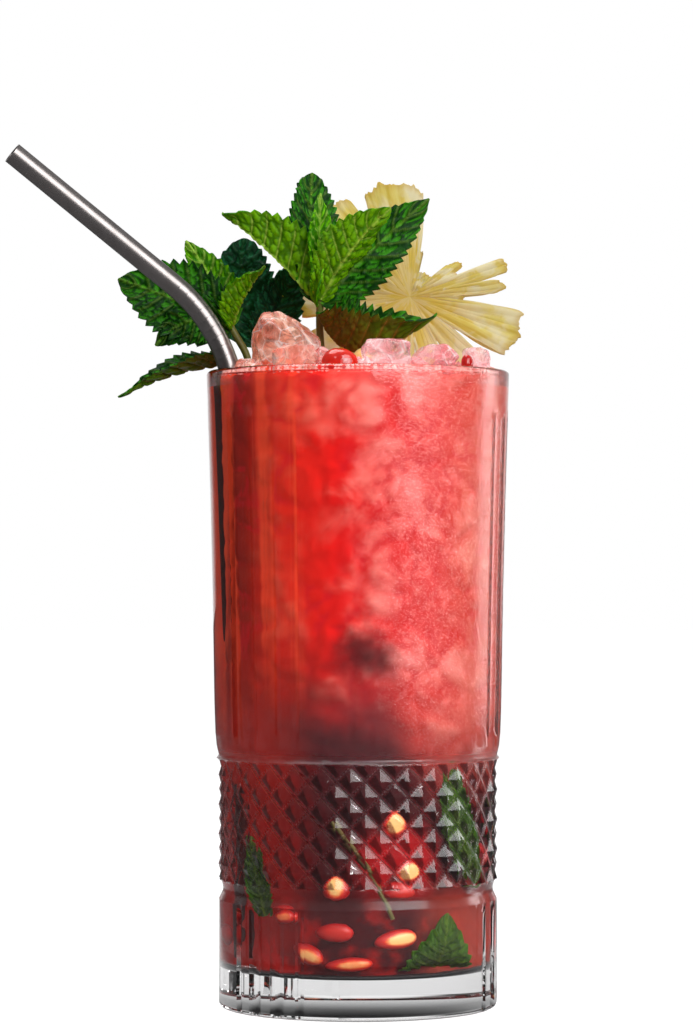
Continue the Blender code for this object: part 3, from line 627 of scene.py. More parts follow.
def packed_ice(colours):
    """Ice in a cloudy drink, with painted light and shade: pale at the right where the light falls, deeper at
    the left, bright red in the middle, deep at the foot and the straw, and a painted glow strongest at the
    left.
    """
    paint = Paint("packed_ice")
    # Painted light and shade across the ice: paler at the right, darker at the left.
    side = paint.spread(paint.along("X"), -0.035, 0.035)
    red = paint.ramp(side, (0.0, rgb(150, 44, 26)), (0.015, rgb(108, 20, 10)), (0.06, rgb(160, 30, 16)),
                     (0.14, rgb(204, 38, 22)), (0.38, colours.drink_red), (0.6, rgb(212, 38, 42)),
                     (0.85, rgb(208, 62, 60)), (1.0, rgb(190, 76, 58)))
    pink = paint.ramp(side, (0.0, rgb(176, 66, 46)), (0.02, rgb(130, 30, 16)), (0.2, rgb(222, 78, 56)),
                      (0.5, rgb(242, 138, 126)), (0.75, rgb(240, 138, 132)), (0.92, rgb(226, 132, 120)),
                      (1.0, rgb(198, 104, 82)))
    clouds = paint.spread(paint.noise(75.0, 4.0, distortion=0.4), 0.42, 0.64)
    lumps = paint.spread(paint.attribute("lump"), 0.1, 1.0, 0.45, 1.0)
    body = paint.mix(paint.times(clouds, lumps), red, pink)
    wisps = paint.spread(paint.noise(260.0, 5.0, distortion=0.3), 0.5, 0.75, 0.0, 0.5)
    wisps = paint.times(wisps, paint.spread(side, 0.4, 0.6))
    body = paint.mix(wisps, body, colours.ice_pink)
    cracks = paint.spread(paint.attribute("lump"), 0.0, 0.3, 0.5, 0.0)
    seen = paint.spread(paint.noise(60.0, 2.0), 0.44, 0.58)
    body = paint.mix(paint.times(cracks, seen), body, rgb(196, 18, 36))
    # Painted highlight: faint upright light streaks on the left of the ice.
    highlight_streaks = paint.noise(150.0, 2.0, place=paint.upright(0.03))
    at_left = paint.spread(side, 0.2, 0.36, 1.0, 0.0)
    highlight_streaks = paint.times(paint.spread(highlight_streaks, 0.46, 0.6, 0.0, 0.6), at_left)
    body = paint.mix(highlight_streaks, body, rgb(232, 80, 46))
    grain = paint.spread(paint.noise(2600.0, 1.0), 0.5, 0.75, 0.0, 0.3)
    grain = paint.times(grain, paint.spread(side, 0.5, 0.8))
    body = paint.mix(grain, body, rgb(252, 214, 208))
    ragged = paint.plus(paint.distance(DARK_SPOT), paint.times(paint.noise(110.0, 4.0), 0.014))
    body = paint.mix(paint.spread(ragged, 0.009, 0.0165, 0.85, 0.0), body, rgb(64, 16, 20))
    dusk = paint.times(paint.spread(paint.along("Z"), 0.060, 0.092, 0.6, 0.0), paint.spread(side, 0.55, 0.7))
    body = paint.mix(dusk, body, rgb(180, 62, 46))
    low = paint.plus(paint.along("Z"), paint.times(paint.noise(45.0, 3.0), 0.030))
    low = paint.plus(low, paint.spread(side, 0.6, 0.88, -0.004, 0.016))
    deep_colour = paint.mix(paint.spread(side, 0.06, 0.35), rgb(146, 26, 16), colours.drink_maroon)
    body = paint.mix(paint.spread(low, 0.074, 0.108, 1.0, 0.0), body, deep_colour)
    foot = paint.spread(paint.along("Z"), 0.020, 0.036, 1.0, 0.0)
    embers = paint.times(paint.spread(paint.noise(110.0, 3.0), 0.48, 0.64, 0.0, 0.8), foot)
    body = paint.mix(embers, body, rgb(176, 24, 18))
    # Painted light: a soft brownish-pink glow low on the right of the foot.
    foot_glow_at_right = paint.spread(side, 0.72, 0.9, 0.0, 0.7)
    body = paint.mix(paint.times(foot, foot_glow_at_right), body, rgb(186, 96, 76))
    warm = paint.spread(paint.distance(WARM_SPOT), 0.005, 0.013, 0.65, 0.0)
    body = paint.mix(warm, body, rgb(206, 26, 34))
    # Painted glow: the ice gives off light, most at the left.
    glow = paint.spread(side, 0.1, 0.6, 0.4, 0.08)
    paint.set(Base_Color=body, Roughness=0.9, Specular_IOR_Level=0.0, Subsurface_Weight=0.25,
              Subsurface_Radius=(0.005, 0.0015, 0.0012), Subsurface_Scale=0.4,
              Emission_Color=body, Emission_Strength=glow)
    return paint.material


def polished_steel(colours):
    """Polished steel, stained by the drink below the level."""
    paint = Paint("polished_steel")
    wet = paint.spread(paint.along("Z"), 0.150, 0.155, 1.0, 0.0)
    brushed = paint.noise(400.0, 4.0, place=paint.upright(0.1))
    steel = paint.mix(brushed, colours.steel, rgb(132, 126, 124))
    dull = paint.plus(paint.spread(brushed, 0.3, 0.7, 0.3, 0.32), paint.times(wet, 0.3))
    paint.set(Base_Color=paint.mix(wet, steel, rgb(96, 26, 16)), Metallic=1.0, Roughness=dull)
    return paint.material


def mint_leaf(name, valley, dome, vein_colour, vein_share, glow, base=None):
    """One face of a mint leaf: painted shade in the valleys and painted light on the domes of flesh, veins,
    and a stain towards its base.
    """
    paint = Paint(name)
    mottle = paint.noise(300.0, 4.0)
    grain = paint.noise(1400.0, 3.0)
    # Painted shade and light: valley colour in the creases, dome colour on the domes of flesh.
    rise = paint.plus(paint.attribute("dome"), paint.spread(mottle, 0.3, 0.7, -0.2, 0.2))
    flesh = paint.mix(paint.spread(rise, 0.0, 0.9), valley, dome)
    if base:
        reach = paint.plus(paint.attribute("share"), paint.spread(mottle, 0.3, 0.7, -0.15, 0.15))
        flesh = paint.mix(paint.spread(reach, 0.35, 0.85, 0.85, 0.0), flesh, base)
    flesh = paint.mix(paint.times(paint.attribute("vein"), vein_share), flesh, vein_colour)
    flesh = paint.mix(paint.spread(grain, 0.35, 0.65, 0.0, 0.3), flesh, valley)
    paint.set(Base_Color=flesh, Roughness=paint.spread(mottle, 0.2, 0.8, 0.36, 0.55), Specular_IOR_Level=0.12)
    paint.bump(grain, 0.0003, 0.6)
    paint.glow_through(paint.mix(0.5, flesh, rgb(140, 220, 10)), glow)
    return paint.material


def stem_skin():
    """Green stem with brown streaks."""
    paint = Paint("mint_stem")
    streak = paint.noise(300.0, 3.0, place=paint.upright(0.15))
    paint.set(Base_Color=paint.mix(streak, rgb(96, 66, 30), rgb(110, 128, 48)), Roughness=0.5)
    return paint.material


def dried_pineapple(colours):
    """Thin dried flesh: pale and see-through, with fibres running out from the core."""
    paint = Paint("dried_pineapple")
    fibres = paint.noise(1.0, 3.0, place=paint.uv(120.0, 2.0), roughness=0.6)
    patches = paint.noise(1.0, 3.0, place=paint.uv(20.0, 4.0), distortion=0.6)
    out = paint.part_of("Y", paint.uv())
    pale = colours.pineapple
    flesh = paint.mix(paint.spread(fibres, 0.35, 0.65), rgb(236, 216, 100), pale)
    flesh = paint.mix(paint.spread(patches, 0.38, 0.6, 0.0, 0.85), flesh, rgb(254, 250, 226))
    flesh = paint.mix(paint.spread(out, 0.2, 0.8, 0.55, 0.0), flesh, rgb(240, 214, 84))
    flesh = paint.mix(paint.spread(out, 0.93, 1.0, 0.0, 0.5), flesh, rgb(222, 190, 96))
    flesh = paint.mix(1.0, flesh, (0.97, 0.97, 0.97, 1.0), 'MULTIPLY')
    paint.set(Base_Color=flesh, Roughness=0.5)
    paint.bump(fibres, 0.0003, 0.5)
    paint.glow_through(flesh, 0.6)
    return paint.material


def wet_ice():
    """Wet ice: clear patches, white cracks and a blush of the drink."""
    paint = Paint("wet_ice")
    cracks = paint.cracks(260.0)
    cloud = paint.noise(220.0, 5.0, distortion=1.5)
    white = paint.spread(cloud, 0.4, 0.7)
    blush = paint.spread(paint.noise(120.0, 2.0), 0.35, 0.65)
    rosy = paint.spread(paint.along("X"), -0.014, -0.004)
    colour = paint.mix(blush, paint.mix(rosy, rgb(248, 214, 196), rgb(250, 228, 228)),
                       paint.mix(rosy, rgb(228, 140, 112), rgb(240, 176, 180)))
    colour = paint.mix(paint.spread(cracks, 0.0, 0.06, 0.8, 0.0), colour, rgb(255, 250, 250))
    paint.set(Base_Color=colour, Roughness=paint.spread(cloud, 0.3, 0.7, 0.06, 0.3), IOR=1.31,
              Transmission_Weight=paint.spread(white, 0.0, 1.0, 0.8, 0.15))
    paint.bump(cloud, 0.0006, 0.7)
    paint.let_lamps_through((0.9, 0.85, 0.85, 1.0))
    return paint.material


def fruit_flesh(name, colours, roughness):
    """Seed and flesh: red where the flesh is thick, pale where the seed shows, with a painted glow strongest
    where it is pale.
    """
    paint = Paint(name)
    pale = paint.attribute("pale")
    mottle = paint.times(paint.noise(350.0, 2.0), 0.25)
    colour = paint.ramp(paint.plus(pale, mottle), (0.1, colours.aril), (0.6, rgb(222, 44, 26)),
                        (0.8, rgb(242, 130, 70)), (1.05, colours.kernel))
    # Emission is a painted glow, brightest on the pale seed.
    paint.set(Base_Color=colour, Roughness=roughness, Subsurface_Weight=0.4,
              Subsurface_Radius=(0.003, 0.001, 0.0006), Subsurface_Scale=0.5, Coat_Weight=0.3,
              Emission_Color=colour, Emission_Strength=paint.spread(pale, 0.3, 1.0, 0.03, 0.2))
    return paint.material


def froth_skin():
    paint = Paint("froth")
    paint.set(Base_Color=paint.mix(paint.noise(300.0), rgb(255, 190, 180), rgb(255, 232, 226)), Roughness=0.1,
              Transmission_Weight=0.6, IOR=1.2)
    paint.let_lamps_through((0.95, 0.8, 0.8, 1.0))
    return paint.material


def pale_floor():
    paint = Paint("pale_floor")
    paint.set(Base_Color=paint.mix(paint.noise(3.0), rgb(118, 118, 119), rgb(114, 114, 116)), Roughness=0.8,
              Specular_IOR_Level=0.1, Emission_Color=WHITE)
    aside = paint.spread(paint.worked_out('ABSOLUTE', paint.along("X")), 0.07, 0.13, 1.0, 0.0)
    behind = paint.times(aside, paint.spread(paint.along("Y"), -0.01, 0.05, 0.0, FLOOR_SHEEN))
    paint.set(Emission_Strength=paint.spread(paint.ray("Camera"), 0.0, 1.0, behind, FLOOR_GLOW))
    return paint.material


# ---------------------------------------------------------------- glass

def arc(centre, radius, start, end, steps):
    """Radii and heights along an arc, its angles in degrees."""
    for step in range(steps + 1):
        angle = math.radians(start + (end - start) * step / steps)
        yield centre[0] + radius * math.cos(angle), centre[1] + radius * math.sin(angle)


def eased_radius(wall, height):
    """Radius of a wall, its corners given upwards, at a height, with its bends eased."""
    radii, heights = zip(*wall)
    return float(np.mean(np.interp([height + step for step in EASE], heights, radii)))


def inner_outline(inset):
    """The inside of the glass from the middle of its floor to the lip, moved in by inset."""
    round_radius = FLOOR_ROUND - inset
    corner = (INNER_WALL[0][0] - inset - round_radius, FLOOR_HEIGHT + inset + round_radius)
    points = [(0.0, FLOOR_HEIGHT + inset), (corner[0] / 2, FLOOR_HEIGHT + inset)]
    points += arc(corner, round_radius, -90.0, 0.0, ARC_STEPS)
    top_radius, top = INNER_WALL[-1]
    height = INNER_WALL[0][1] + WALL_ROW
    while height < top:
        points.append((eased_radius(INNER_WALL, height) - inset, height))
        height += WALL_ROW
    points.append((top_radius - inset, top))
    return points


def glass_outline():
    """The whole glass, from the middle of its floor over the lip to the middle of its underside."""
    lip_radius = RIM_WALL / 2
    lip_centre = (RIM_RADIUS - lip_radius, GLASS_HEIGHT - lip_radius)
    points = inner_outline(0.0)
    points += arc(lip_centre, lip_radius, 180.0, 0.0, ARC_STEPS)
    height = OUTER_WALL[0][1]
    while height > OUTER_WALL[-1][1]:
        points.append((eased_radius(OUTER_WALL[::-1], height), height))
        height -= WALL_ROW / 2
    points.append(OUTER_WALL[-1])
    points += SHOULDER
    for row in range(BAND_ROWS + 1):
        points.append((GROOVE_RADIUS, BAND_TOP + (BAND_BOTTOM - BAND_TOP) * row / BAND_ROWS))
    points += BELOW_BAND[:-1]
    points += [(FOOT_RADIUS, height) for height in FOOT_HEIGHTS]
    points.append(BELOW_BAND[-1])
    points += arc((FOOT_RADIUS - FOOT_ROUND, FOOT_ROUND), FOOT_ROUND, 0.0, -90.0, 6)
    points += [(FOOT_RADIUS / 2, 0.0), (0.0, 0.0)]
    return points


def diamond(angle, height):
    """How far the band stands out at an angle and height, 0 to 1, and how far its face looks to the right."""
    column = (angle - DIAMOND_TURN) / DIAMOND_ANGLE
    row = (BAND_TOP - height) / DIAMOND_HALF
    nearest, middle = 2.0, (0.0, 0.0)
    for near_row in (math.floor(row), math.floor(row) + 1):
        for near_column in (math.floor(column), math.floor(column) + 1):
            if (near_row + near_column) % 2 == 0:
                off = abs(column - near_column) + abs(row - near_row)
                if off < nearest:
                    nearest, middle = off, (column - near_column, near_row - row)
    rise = max(0.0, 1.0 - nearest / DIAMOND_BASE)
    lean = min(max((middle[0] + 0.5 * middle[1]) / LEAN_EDGE, -1.0), 1.0)
    return rise, lean * blend(0.0, GROOVE_EDGE, rise)


def flute_share(angle, height):
    """Depth of the flutes at an angle and height, as a share of the deepest."""
    pitch = 360.0 / FLUTE_GROUPS
    off = abs((angle - FLUTE_CENTRE + pitch / 2) % pitch - pitch / 2)
    depth = 0.0
    for middle, half_width, share in FLUTES:
        depth = max(depth, share * (1 - ((off - middle) / half_width) ** 2))
    fade = 0.0
    for low, high in FLUTE_SPANS:
        ease = blend(low, low + FLUTE_FADE, height) * (1 - blend(high - FLUTE_FADE, high, height))
        fade = max(fade, ease)
    return depth * fade


def cut_outside(glass):
    """Raise the diamonds and press the flutes on the outer wall, and mark the cut faces for the material."""
    radii, heights = zip(*INNER_WALL)
    leans, frosted = [], []
    for vert in glass.data.vertices:
        radius = math.hypot(vert.co.x, vert.co.y) / MM
        height = vert.co.z / MM
        lean, frost = 0.0, 0.0
        if radius > float(np.interp(height, heights, radii)) + RIM_WALL / 2:
            angle = math.degrees(math.atan2(vert.co.x, -vert.co.y))
            if BAND_BOTTOM - MERGE < height < BAND_TOP + MERGE:
                rise, lean = diamond(angle, height)
                frost = 1 - blend(0.0, GROOVE_EDGE, rise)
                move = (APEX_RADIUS - GROOVE_RADIUS) * rise
            else:
                if BAND_TOP < height < RING_TOP:
                    frost = 1.0
                elif FOOT_RING < height < BAND_BOTTOM:
                    frost = FOOT_FROST
                move = -FLUTE_DEPTH * flute_share(angle, height)
            scale = 1 + move / radius
            vert.co.x *= scale
            vert.co.y *= scale
        leans.append(lean)
        frosted.append(frost)
    # The material paints shade on the faces that look left, by their lean.
    mark(glass, "lean", leans)
    mark(glass, "frosted", frosted)


class SWIZZLE_OT_glass(bpy.types.Operator):
    """Turn the glass and cut its diamonds and flutes"""
    bl_idname = "swizzle.glass"
    bl_label = "Cut glass"

    def execute(self, context):
        sizes = context.scene.swizzle_sizes
        glass = turned("cut_glass", glass_outline(), sizes.glass_columns)
        cut_outside(glass)
        finish_piece(glass, "clear_glass", "glass", material=cut_glass(sizes), angle=12.0)
        return {'FINISHED'}


# ---------------------------------------------------------------- drink

def drink_outline():
    """The liquid, reaching just into the wall, from the middle of its foot to the middle of its top."""
    points = [point for point in inner_outline(-INTO_WALL) if point[1] < DRINK_LEVEL]
    edge = points[-1][0]
    points += [(edge - reach, DRINK_LEVEL + rise) for reach, rise in DRINK_EDGE]
    points += [(edge / 2, DRINK_LEVEL), (0.0, DRINK_LEVEL)]
    return points


class SWIZZLE_OT_drink(bpy.types.Operator):
    """Fill the glass with the clear red drink"""
    bl_idname = "swizzle.drink"
    bl_label = "Drink"

    def execute(self, context):
        drink = turned("red_drink", drink_outline(), DRINK_SIDES)
        finish_piece(drink, "iced_drink", "drink", material=clear_drink())
        return {'FINISHED'}


def pack_outline():
    """The ice pack: crushed ice near the wall, a slightly narrower pulp at the foot, and a flat top."""
    radii, heights = zip(*INNER_WALL)
    points = [(0.0, FLOOR_HEIGHT + 0.5), (PULP_RADIUS, FLOOR_HEIGHT + 0.5)]
    height = FLOOR_HEIGHT + 1.5
    top = DRINK_LEVEL - 0.6
    while height < top:
        wide = float(np.interp(height, heights, radii)) - PACK_CLEAR
        share = blend(PULP_HIGH, PACK_LOW, height)
        points.append((PULP_RADIUS + (wide - PULP_RADIUS) * share, height))
        height += PACK_ROW
    edge = points[-1][0]
    for step in range(1, PACK_RINGS):
        points.append((edge * (1 - step / PACK_RINGS), DRINK_LEVEL))
    points.append((0.0, DRINK_LEVEL))
    return points


def lump_height(place):
    """Height of the crushed ice at a place: 1 in the middle of a lump and 0 in the gaps round it."""
    coarse = place * LUMP_WARP
    warp = Vector((noise.noise(coarse), noise.noise(coarse + Vector((5, 1, 9))), 0.0))
    big = noise.voronoi((place / MM + warp * 3.0) / LUMP_SIZE)[0]
    small = noise.voronoi((place / MM + warp * 2.0) / CHIP_SIZE)[0]
    return 0.7 * blend(0.0, 0.4, big[1] - big[0]) + 0.3 * blend(0.0, 0.4, small[1] - small[0])


def mound(radius):
    """How far the ice heaps up over the level at a radius."""
    return MOUND * (1 - (radius / MOUND_RADIUS) ** 2)


def straw_distance(place):
    """How far a place lies from the straw's centre line inside the drink."""
    high, low = mm(STRAW_CORNERS[2]), mm(STRAW_CORNERS[3])
    along = (low - high).normalized()
    off = place - high
    return (off - along * off.dot(along)).length / MM


class SWIZZLE_OT_packed_ice(bpy.types.Operator):
    """Pack the drink with crushed ice up to a mound above its level"""
    bl_idname = "swizzle.packed_ice"
    bl_label = "Packed ice"

    def execute(self, context):
        pack = turned("packed_ice", pack_outline(), context.scene.swizzle_sizes.ice_columns)
        lumps = []
        for vert in pack.data.vertices:
            place = vert.co.copy()
            lump = lump_height(place)
            lumps.append(lump)
            radius = math.hypot(place.x, place.y)
            if radius < MERGE:
                continue
            height = place.z / MM
            if height > DRINK_LEVEL - MERGE:
                vert.co.z += (max(mound(radius / MM), 0.0) + (lump - 0.5) * MOUND_LUMPS) * MM
                continue
            near = 1 - blend(*STRAW_NEAR, straw_distance(place))
            inward = PACK_RELIEF * (1 - lump) + STRAW_DENT * near * blend(*STRAW_DENT_SPAN, height)
            scale = 1 - inward * MM / radius
            vert.co.x *= scale
            vert.co.y *= scale
        mark(pack, "lump", lumps)
        finish_piece(pack, "iced_drink", material=packed_ice(context.scene.swizzle_colours), angle=60.0)
        return {'FINISHED'}


# ---------------------------------------------------------------- straw

def filleted_path(corners, bends):
    """A path through corners, each inner corner rounded by its bend's radius in its number of steps."""
    path = [corners[0]]
    for before, corner, after, (radius, steps) in zip(corners, corners[1:], corners[2:], bends):
        back = (before - corner).normalized()
        ahead = (after - corner).normalized()
        half_turn = (math.pi - back.angle(ahead)) / 2
        tangent = radius * math.tan(half_turn)
        centre = corner + (back + ahead).normalized() * (radius / math.cos(half_turn))
        start = corner + back * tangent - centre
        axis = start.cross(corner + ahead * tangent - centre).normalized()
        for step in range(steps + 1):
            path.append(centre + Matrix.Rotation(2 * half_turn * step / steps, 3, axis) @ start)
    path.append(corners[-1])
    return path


def swept(name, path, radii, sides):
    """An open tube along a path, its radius given at each point."""
    directions = []
    for index in range(len(path)):
        before = path[max(index - 1, 0)]
        after = path[min(index + 1, len(path) - 1)]
        directions.append((after - before).normalized())
    last = len(path) - 1

    def shape(u, v):
        index = round(v * last)
        along = directions[index]
        side = along.cross(Vector((0.0, 1.0, 0.0))).normalized()
        other = along.cross(side)
        angle = math.tau * u
        return path[index] + (side * math.cos(angle) + other * math.sin(angle)) * radii[index]

    tube = shaped_grid(name, sides, last, shape)
    close_up(tube)
    return tube


class SWIZZLE_OT_straw(bpy.types.Operator):
    """Bend the steel straw and roll its ribs"""
    bl_idname = "swizzle.straw"
    bl_label = "Straw"

    def execute(self, context):
        corners = [Vector(corner) for corner in STRAW_CORNERS]
        path = filleted_path(corners, STRAW_BENDS)
        steps = STRAW_BENDS[0][1]
        radii = []
        for index in range(len(path)):
            turn = (index - 1) / steps * STRAW_RINGS
            ringed = 0 <= turn <= STRAW_RINGS
            groove = math.cos(math.pi * (turn % 1.0 - 0.5)) ** RING_SHARPNESS if ringed else 0.0
            radii.append(STRAW_RADIUS * (1 - RING_DEPTH * groove))
        straw = swept("steel_straw", path, radii, STRAW_SIDES)
        thicken(straw, STRAW_WALL, offset=-1.0)
        material = polished_steel(context.scene.swizzle_colours)
        finish_piece(straw, "polished_steel", "straw", material=material, angle=50.0)
        return {'FINISHED'}


# ---------------------------------------------------------------- mint

def midrib(blade, share):
    base, bend, tip = Vector(blade.base), Vector(blade.bend), Vector(blade.tip)
    return base.lerp(bend, share).lerp(bend.lerp(tip, share), share)


def blade_axes(blade, share):
    """Along, across and upper face directions of a blade at a share of its midrib."""
    base, bend, tip = Vector(blade.base), Vector(blade.bend), Vector(blade.tip)
    rib = (bend.lerp(tip, share) - base.lerp(bend, share)).normalized()
    along = rib.lerp((tip - base).normalized(), 0.7).normalized()
    across = along.cross(Vector(blade.face)).normalized()
    return along, across, across.cross(along)


def blade_half_width(blade, share):
    power = 0.53 if blade.tip in BLUNT_TIPS else 0.6 + 0.2 * share
    swell = math.sin(math.pi * min(max(share, 0.006), 0.999) ** 0.78) ** power
    return max(blade.width / 2 * swell, 0.15)


def vein_phase(share, side):
    """Counts the side veins along a blade; they leave the midrib aslant and curve towards the tip."""
    return VEINS * (share - VEIN_SWEEP * abs(side) ** 1.1 * (1 - 0.5 * share)) + 0.3


def quilted(blade, share, side, seed):
    """Height of the flesh at a place, how much of a vein the place is, and how far it domes up."""
    half_width = blade_half_width(blade, share)
    phase = vein_phase(share, side)
    off = abs(phase - round(phase))
    fade = blend(0.0, 0.12, share) * (1 - blend(0.9, 1.0, share)) * (1 - blend(0.82, 1.0, abs(side)))
    rib = math.exp(-(side * half_width / RIB_WIDTH) ** 2)
    vein = math.exp(-(off / VEIN_WIDTH) ** 2) * blend(0.0, 0.1, share) * (1 - blend(0.8, 1.0, abs(side)))
    gaps = noise.voronoi(Vector((phase * DOMES, side * half_width / DOME_WIDTH, seed * 7.0)))[0]
    dome = blend(0.0, 0.3, gaps[1] - gaps[0])
    hump = blend(0.0, 0.3, off)
    lift = QUILT * fade * (0.5 * hump + 0.5 * dome - 0.5) - RIB_DEPTH * rib
    return lift, max(vein, rib), hump * dome


def leaf(name, blade, seed, materials):
    """A toothed, quilted, folded mint leaf with an upper face and an underside."""
    length = (Vector(blade.tip) - Vector(blade.base)).length
    teeth = max(5, round(length / TOOTH_LENGTH))
    veins, domes, shares = [], [], []

    def shape(u, v):
        share = u
        side = 1 - 2 * v
        lift, vein, dome = quilted(blade, share, side, seed)
        veins.append(vein)
        domes.append(dome)
        shares.append(share)
        saw = (share * teeth + 0.35 * seed) % 1.0
        tooth = TOOTH_DEPTH * (saw - 0.6) * abs(side) ** 5 * blend(0.0, 0.15, share)
        half_width = blade_half_width(blade, share) * (1 + tooth)
        along, across, face = blade_axes(blade, share)
        folded = min(1.0, 5 * share, 5 * (1 - share))
        fold = math.radians(blade.fold_a if side > 0 else blade.fold_b) * folded
        reach = across * math.copysign(math.cos(fold), side) + face * math.sin(fold)
        normal = reach.cross(along) * math.copysign(1.0, side)
        ripple = math.sin(share * 11.0 + side * 2.0) * side * side * math.sin(math.pi * share) * 0.5
        return midrib(blade, share) + reach * (abs(side) * half_width) + normal * (ripple - lift)

    piece = shaped_grid(name, LEAF_ROWS, LEAF_COLUMNS, shape)
    mark(piece, "vein", veins)
    mark(piece, "dome", domes)
    mark(piece, "share", shares)
    for material in materials:
        piece.data.materials.append(material)
    thicken(piece, LEAF_THICKNESS, further=1)
    return piece


def stem(name, points, radius):
    """A stem through its points, with a closed round end."""
    corners = [Vector(point) for point in points]
    path = []
    for low, high in zip(corners, corners[1:]):
        path += [low.lerp(high, step / 6) for step in range(6)]
    path.append(corners[-1])
    smooth = [path[0]]
    for before, point, after in zip(path, path[1:], path[2:]):
        smooth.append((before + point * 2 + after) / 4)
    smooth.append(path[-1])
    radii = [radius] * len(smooth)
    tube = swept(name, smooth, radii, 12)
    with edit_mode(tube):
        bpy.ops.mesh.select_all(action='DESELECT')
        bpy.ops.mesh.select_non_manifold()
        bpy.ops.mesh.edge_face_add()
    close_up(tube)
    for name in ("vein", "dome", "share"):
        mark(tube, name, [0.0] * len(tube.data.vertices))
    tube.data.materials.append(bpy.data.materials["mint_stem"])
    return tube


def sprig(name, stem_points, blades, looks, node, slot):
    """A stem with its leaves; looks gives each leaf its upper and lower material."""
    pieces = [stem(name + "_stem", stem_points, STEM_RADIUS)]
    for index, (blade, materials) in enumerate(zip(blades, looks)):
        pieces.append(leaf(f"{name}_leaf_{index}", blade, index + 1, materials))
    piece = joined(name, pieces)
    finish_piece(piece, slot, node, angle=60.0)


class SWIZZLE_OT_mint(bpy.types.Operator):
    """Grow the three mint sprigs over the rim"""
    bl_idname = "swizzle.mint"
    bl_label = "Mint sprigs"

    def execute(self, context):
        colours = context.scene.swizzle_colours
        stem_skin()
        top = mint_leaf("mint_top", rgb(58, 128, 0), colours.mint_top, rgb(206, 240, 100), 0.75, 0.3)
        under = mint_leaf("mint_under", rgb(80, 132, 0), colours.mint_under, rgb(206, 232, 90), 0.9, 0.35)
        dark = mint_leaf("mint_dark", rgb(0, 52, 0), rgb(62, 150, 20), rgb(150, 200, 60), 0.3, 0.16)
        brown = mint_leaf("mint_brown", rgb(62, 88, 4), rgb(96, 130, 16), rgb(188, 124, 56), 0.7, 0.25,
                          rgb(116, 94, 30))
        old = mint_leaf("mint_old", rgb(6, 50, 30), colours.old_mint, rgb(50, 120, 60), 0.3, 0.12)
        fresh, deep, stained, aged = (top, under), (dark, under), (dark, brown), (old, under)
        front = (fresh, deep, fresh, fresh, deep, stained)
        sprig("mint_front", FRONT_STEM, FRONT_BLADES, front, "mint_sprig_front", "mint")
        left = (fresh, deep, deep, fresh, stained)
        sprig("mint_left", LEFT_STEM, LEFT_BLADES, left, "mint_sprig_left", "mint")
        sprig("mint_back", BACK_STEM, BACK_BLADES, (aged, aged), "mint_sprig_back", "dark_mint")
        return {'FINISHED'}


class SWIZZLE_OT_sunk_mint(bpy.types.Operator):
    """Sink loose mint leaves and a stem into the foot of the drink"""
    bl_idname = "swizzle.sunk_mint"
    bl_label = "Sunk mint"

    def execute(self, context):
        green = mint_leaf("mint_sunk", rgb(52, 84, 10), rgb(84, 134, 26), rgb(120, 150, 50), 0.5, 0.3)
        pieces = [stem("sunk_stem", SUNK_STEM, SUNK_STEM_RADIUS)]
        for index, blade in enumerate(SUNK_BLADES):
            pieces.append(leaf(f"sunk_leaf_{index}", blade, index + 9, (green, green)))
        piece = joined("sunk_mint", pieces)
        finish_piece(piece, "mint", angle=60.0)
        return {'FINISHED'}


# ---------------------------------------------------------------- pineapple

def petal_reach(degrees):
    """How far the wheel reaches at an angle: a petal's length or the notch between two."""
    low, high = CORE_NOTCH
    reach = WHEEL_CORE if low < degrees % 360 < high else WHEEL_NOTCH
    for middle, half_width, length in WHEEL_PETALS:
        off = abs((degrees - middle + 180) % 360 - 180) / half_width
        if off < 1.0:
            side = 1 - blend(0.72, 1.0, off)
            reach = max(reach, WHEEL_NOTCH + (length * (1 - 0.12 * off ** 3) - WHEEL_NOTCH) * side)
    return reach


def wheel_point(u, v):
    """A point of the wheel's middle surface, torn at its rim and pleated along its fibres."""
    angle = math.tau * u
    degrees = math.degrees(angle)
    around = Vector((math.cos(angle), math.sin(angle), 0.0))
    fray = noise.noise(around * 16.0) * 1.1 + noise.noise(around * 45.0) * 0.8
    radius = v * (petal_reach(degrees) + fray * blend(0.5, 1.0, v))
    out = radius / WHEEL_RADIUS
    wave = WHEEL_WAVE * (out * math.sin(3 * angle + 1.0) + 0.5 * out ** 2 * math.sin(8 * angle))
    fine = noise.noise(around * 22.0 + Vector((0, 0, v * 1.5)))
    broad = noise.noise(around * 8.0 + Vector((0, 0, v * 2.5)))
    pleats = (fine + 1.4 * broad) * (WHEEL_PLEATS * blend(0.1, 0.5, v))
    flat = Vector((radius * math.cos(angle), -(wave + pleats), radius * math.sin(angle)))
    return Vector(WHEEL_CENTRE) + Matrix.Rotation(-WHEEL_LEAN, 3, 'X') @ flat


class SWIZZLE_OT_pineapple(bpy.types.Operator):
    """Stand the dried pineapple wheel at the back of the rim"""
    bl_idname = "swizzle.pineapple"
    bl_label = "Pineapple wheel"

    def execute(self, context):
        wheel = shaped_grid("pineapple_wheel_dried", WHEEL_COLUMNS, WHEEL_ROWS, wheel_point)
        close_up(wheel)
        thicken(wheel, WHEEL_THICKNESS)
        material = dried_pineapple(context.scene.swizzle_colours)
        finish_piece(wheel, "dried_pineapple", "pineapple_wheel", material=material, angle=60.0)
        return {'FINISHED'}


# ---------------------------------------------------------------- ice and fruit

